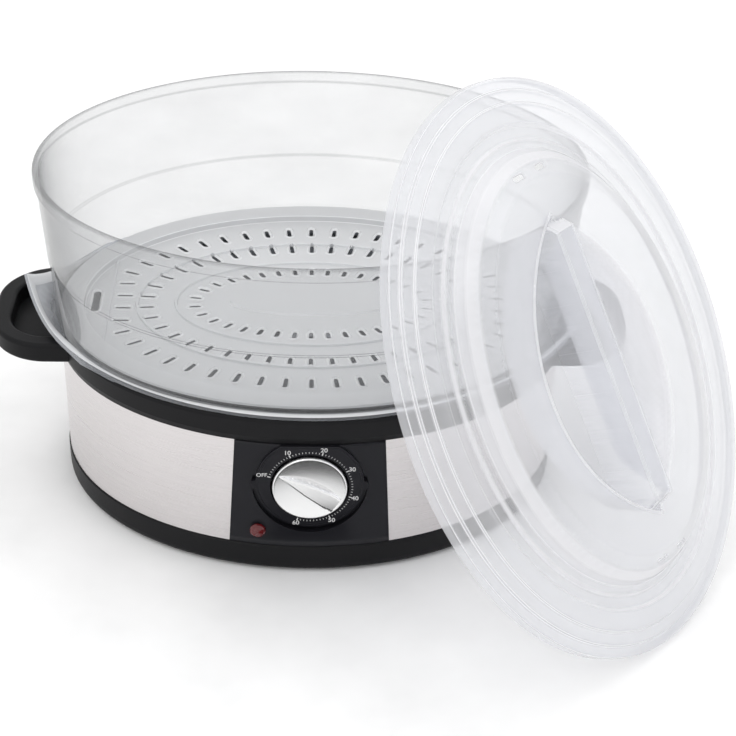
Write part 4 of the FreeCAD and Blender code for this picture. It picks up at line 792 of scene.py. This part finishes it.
def lid_matrix():
    """Where the lid stands: its long axis up the slope, and +v of its plan towards the front left."""
    side = Vector((-LID_FACES.y, LID_FACES.x, 0)).normalized()
    up = LID_FACES.cross(side)
    long_axis = up * math.cos(LEAN_ROLL) + side * math.sin(LEAN_ROLL)
    across = LID_FACES.cross(long_axis)
    turn = Matrix((long_axis, across, LID_FACES)).transposed().to_4x4()
    return Matrix.Translation(LID_CENTRE * MM) @ turn


def scoop_depth_in(u, v):
    """How far inside the pointed oval of the two scoops each point lies, negative outside."""
    return SCOOP_ARC - np.maximum(np.hypot(u, v - SCOOP_SHIFT), np.hypot(u, v + SCOOP_SHIFT))


def lid_height(u, v):
    """Height over the lid's plan: the stepped dome, sunk in the two scoops, and the bar between them."""
    dome = np.interp(oval_inset(u, v, LID_X, LID_Y), LID_INSETS, LID_HEIGHTS)
    depth_in = scoop_depth_in(u, v)
    crisp = np.interp(depth_in, WALL_MARKS, WALL_SUNK)
    gentle = np.clip(depth_in / FAR_SLOPE, 0, 1)
    sunk = np.where(v > 0, crisp, gentle ** 2 * (3 - 2 * gentle))
    line = LINE_HIGH * np.interp(depth_in, LINE_MARKS, (0, 1, 0))
    z = dome * (1 - sunk) + np.where(v > 0, line, 0)
    top = np.interp(np.abs(u), BAR_END_U, BAR_END_Z)
    return np.maximum(z, np.minimum(top, BAR_TOP) - np.interp(np.abs(v), BAR_MARKS, BAR_DROP))


def bar_ring(long, half, pitch=3.0):
    """Rectangle round the grip bar, with points all along its long sides."""
    stations = np.linspace(-long, long, 2 * round(long / pitch) + 1)
    return [(u, -half) for u in stations] + [(u, half) for u in stations[::-1]]


def lid_outlines():
    """Every line of the lid that has to come out crisp."""
    outlines = [oval_ring(LID_X - inset, LID_Y - inset) for inset in LID_INSETS[:-1] if inset < RINGS_IN]
    outlines += [lens_ring(SCOOP_ARC - inward, SCOOP_SHIFT, SCOOP_POINTS)
                 for inward in LINE_MARKS[:-1] + WALL_MARKS]
    outlines += [bar_ring(long, half) for half in BAR_MARKS for long in BAR_STATIONS]
    return outlines + [slot_ring(vent, 0) for vent in LID_VENTS]


def lid_fill():
    """Points between the lines: evenly over the dome, and closer together at the bar's ends."""
    ends = [(u, v) for u, v in fill_points(BAR_ENDS[-1][0] + FILL_MARGIN, BAR_WIDE, BAR_END_FILL)
            if abs(u) > BAR_ENDS[0][0] - FILL_MARGIN and abs(v) < BAR_WIDE / 2 + FILL_ASIDE]
    dome = fill_points(LID_X - DOME_IN - FILL_MARGIN, LID_Y - DOME_IN - FILL_MARGIN, DOME_FILL)
    return dome + ends


def lid(materials):
    """Domed lid: stepped rings, two finger scoops sunk in the dome and a grip bar between them."""
    cover = sheet("Lid", lid_outlines(), lid_height, lambda u, v: slot_distance(u, v, LID_VENTS) < 0,
                  lid_fill())
    settle(cover, LID_WALL)
    cover.data.transform(lid_matrix())
    add_piece(cover, materials["lid_plastic"], "milky_plastic", "lid", "lid")


# ---------------------------------------------------------------- knob
KNOB_GAP, KNOB_DEPTH, KNOB_WALL = 0.9, 11.0, 1.6
KNOB_SEAT = KNOB_HIGH[1] + KNOB_GAP  # the floor of the knob's well
DISH_IN, DISH_TOP, DISH_DEPTH = 1.5, 0.6, 2.8
KNOB_RIM = [(0, KNOB_GAP), (0.05, KNOB_DEPTH - 1.8), (0.35, KNOB_DEPTH - 0.7), (0.9, KNOB_DEPTH - 0.3)]
KNOB_DISH = [(DISH_IN + share * (KNOB_RADIUS - DISH_IN),
              KNOB_DEPTH - DISH_TOP - DISH_DEPTH * (1 - (1 - share) ** 2)) for share in np.linspace(0, 1, 13)]
KNOB_INSETS, KNOB_HEIGHTS = rounded_profile(KNOB_RIM + KNOB_DISH, 0.7, 3)
GRIP_TURN, GRIP_LONG, GRIP_ASIDE = math.radians(148), 18.7, 1.9
# Half width of the grip bar from its broad end to the narrow one that points at the numbers.
GRIP_SHAPE = ((-GRIP_LONG, 5.4), (-12.0, 5.6), (0.0, 4.2), (GRIP_LONG, 0.7))
# Height of the bar by how far past its edge a point lies.
GRIP_MARKS = (-1.2, -0.5, 0, 0.6)
GRIP_HEIGHTS = (KNOB_DEPTH - 0.2, KNOB_DEPTH - 0.45, KNOB_DEPTH - 1.2, 0)
GRIP_STATIONS, GRIP_INSIDE = 25, 0.5  # points along a side, and how far inside the rim they stay
KNOB_AROUND, KNOB_FILL_IN, KNOB_FILL = 120, 3.5, 0.9


def grip_half(along):
    """Half width of the grip bar at each place along it."""
    return np.interp(along, *zip(*GRIP_SHAPE))


def knob_height(x, y):
    """Height over the knob's plan: rim, dish and the grip bar across it."""
    z = np.interp(KNOB_RADIUS - np.hypot(x, y), KNOB_INSETS, KNOB_HEIGHTS)
    along = x * math.cos(GRIP_TURN) + y * math.sin(GRIP_TURN)
    across = np.abs(y * math.cos(GRIP_TURN) - x * math.sin(GRIP_TURN) - GRIP_ASIDE)
    bar = np.interp(across - grip_half(along), GRIP_MARKS, GRIP_HEIGHTS)
    return np.where(np.abs(along) < GRIP_LONG, np.maximum(z, bar), z)


def grip_ring(grow):
    """Outline of the grip bar grown all round, where it lies on the knob."""
    stations = np.linspace(-GRIP_LONG, GRIP_LONG, GRIP_STATIONS)
    halves = grip_half(stations) + grow
    ring = [(along, GRIP_ASIDE + half) for along, half in zip(stations, halves)]
    ring += [(along, GRIP_ASIDE - half) for along, half in zip(stations[::-1], halves[::-1])]
    limit = KNOB_RADIUS - GRIP_INSIDE
    ring = [(along, across) for along, across in ring if math.hypot(along, across) < limit]
    return [(along * math.cos(GRIP_TURN) - across * math.sin(GRIP_TURN),
             along * math.sin(GRIP_TURN) + across * math.cos(GRIP_TURN)) for along, across in ring]


def timer_knob(materials):
    """Satin knob: bright raised rim, dished face and a tapered grip bar across it."""
    outlines = [oval_ring(KNOB_RADIUS - inset, KNOB_RADIUS - inset, KNOB_AROUND)
                for inset in KNOB_INSETS[:-1]]
    outlines += [grip_ring(grow) for grow in GRIP_MARKS]
    fill_radius = KNOB_RADIUS - KNOB_FILL_IN
    knob = sheet("TimerKnob", outlines, knob_height, lambda x, y: np.hypot(x, y) > KNOB_RADIUS,
                 fill_points(fill_radius, fill_radius, KNOB_FILL))
    knob.data.transform(Matrix.Translation((0, KNOB_SEAT * MM, DIAL_Z * MM)) @ UPRIGHT)
    settle(knob, KNOB_WALL)
    add_piece(knob, materials["silver_knob"], "silver_knob", "knob", "timer_knob")


# ---------------------------------------------------------------- print on the dial
TICK_RADIUS, MARK_RADIUS, PRINT_DEPTH = 23.7, 26.5, 0.06
MARKS = ("OFF", "10", "20", "30", "40", "50", "60")
FIRST_MARK, MARK_STEP, TICKS_BETWEEN = 163.0, 45.0, 10  # degrees, degrees, ticks from mark to mark
MARK_TICK, MINUTE_TICK = (0.9, 1.0, 0.32), (0.5, 0.5, 0.16)  # reach inwards, outwards, half width
MARK_HIGH, NUMBER_SCALE, WORD_SCALE, WORD_OUT = 3.3, 1.2, 1.05, 1.4
MARK_BOLDER = 0.06


def on_dial(radius, angle, aside=0.0):
    """Point of the print at this radius and angle, and this far aside of the radius."""
    right = radius * math.cos(angle) - aside * math.sin(angle)
    up = radius * math.sin(angle) + aside * math.cos(angle)
    return right, DIAL_Y - PRINT_DEPTH, DIAL_Z + up


def dial_ticks(material):
    """Ring of minute ticks, with a longer one at every mark."""
    points, faces = [], []
    for index in range((len(MARKS) - 1) * TICKS_BETWEEN + 1):
        angle = math.radians(FIRST_MARK - index * MARK_STEP / TICKS_BETWEEN)
        inward, outward, half = MINUTE_TICK if index % TICKS_BETWEEN else MARK_TICK
        inner, outer = TICK_RADIUS - inward, TICK_RADIUS + outward
        first = len(points)
        for radius, side in ((inner, -1), (outer, -1), (outer, 1), (inner, 1)):
            points.append(on_dial(radius, angle, side * half))
        faces.append((first + 3, first + 2, first + 1, first))
    add_piece(to_mesh("DialTicks", points, faces), material, "panel_black", "base")


def dial_mark(text, angle, material):
    """One mark of the dial: a word or a number, as a flat mesh."""
    is_word = text == "OFF"
    curve = bpy.data.curves.new("Mark" + text, "FONT")
    curve.body = text
    curve.size = MARK_HIGH * MM * (WORD_SCALE if is_word else NUMBER_SCALE)
    curve.align_x = curve.align_y = "CENTER"
    curve.offset = MARK_BOLDER * MM
    label = bpy.data.objects.new("Mark" + text, curve)
    place = on_dial(MARK_RADIUS + (WORD_OUT if is_word else 0.0), angle)
    label.matrix_world = Matrix.Translation([value * MM for value in place]) @ UPRIGHT
    bpy.context.scene.collection.objects.link(label)
    bpy.context.view_layer.update()
    mesh = bpy.data.meshes.new_from_object(label.evaluated_get(bpy.context.evaluated_depsgraph_get()))
    printed = bpy.data.objects.new("Mark" + text, mesh)
    printed.matrix_world = label.matrix_world
    bpy.data.objects.remove(label)
    bpy.context.scene.collection.objects.link(printed)
    add_piece(printed, material, "panel_black", "base")


def dial_print(materials):
    """White print on the dial: a ring of minute ticks and the plain marks."""
    dial_ticks(materials["print_white"])
    for index, text in enumerate(MARKS):
        dial_mark(text, math.radians(FIRST_MARK - index * MARK_STEP), materials["print_white"])


# ---------------------------------------------------------------- all of it
def build():
    """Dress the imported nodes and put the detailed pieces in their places."""
    materials = {**clear_materials(), **metal_materials(), **opaque_materials()}
    dress_frame(materials)
    basket_wall(materials)
    basket_floor(materials)
    drip_tray(materials)
    lid(materials)
    timer_knob(materials)
    dial_print(materials)


make_camera()
make_studio()
build()
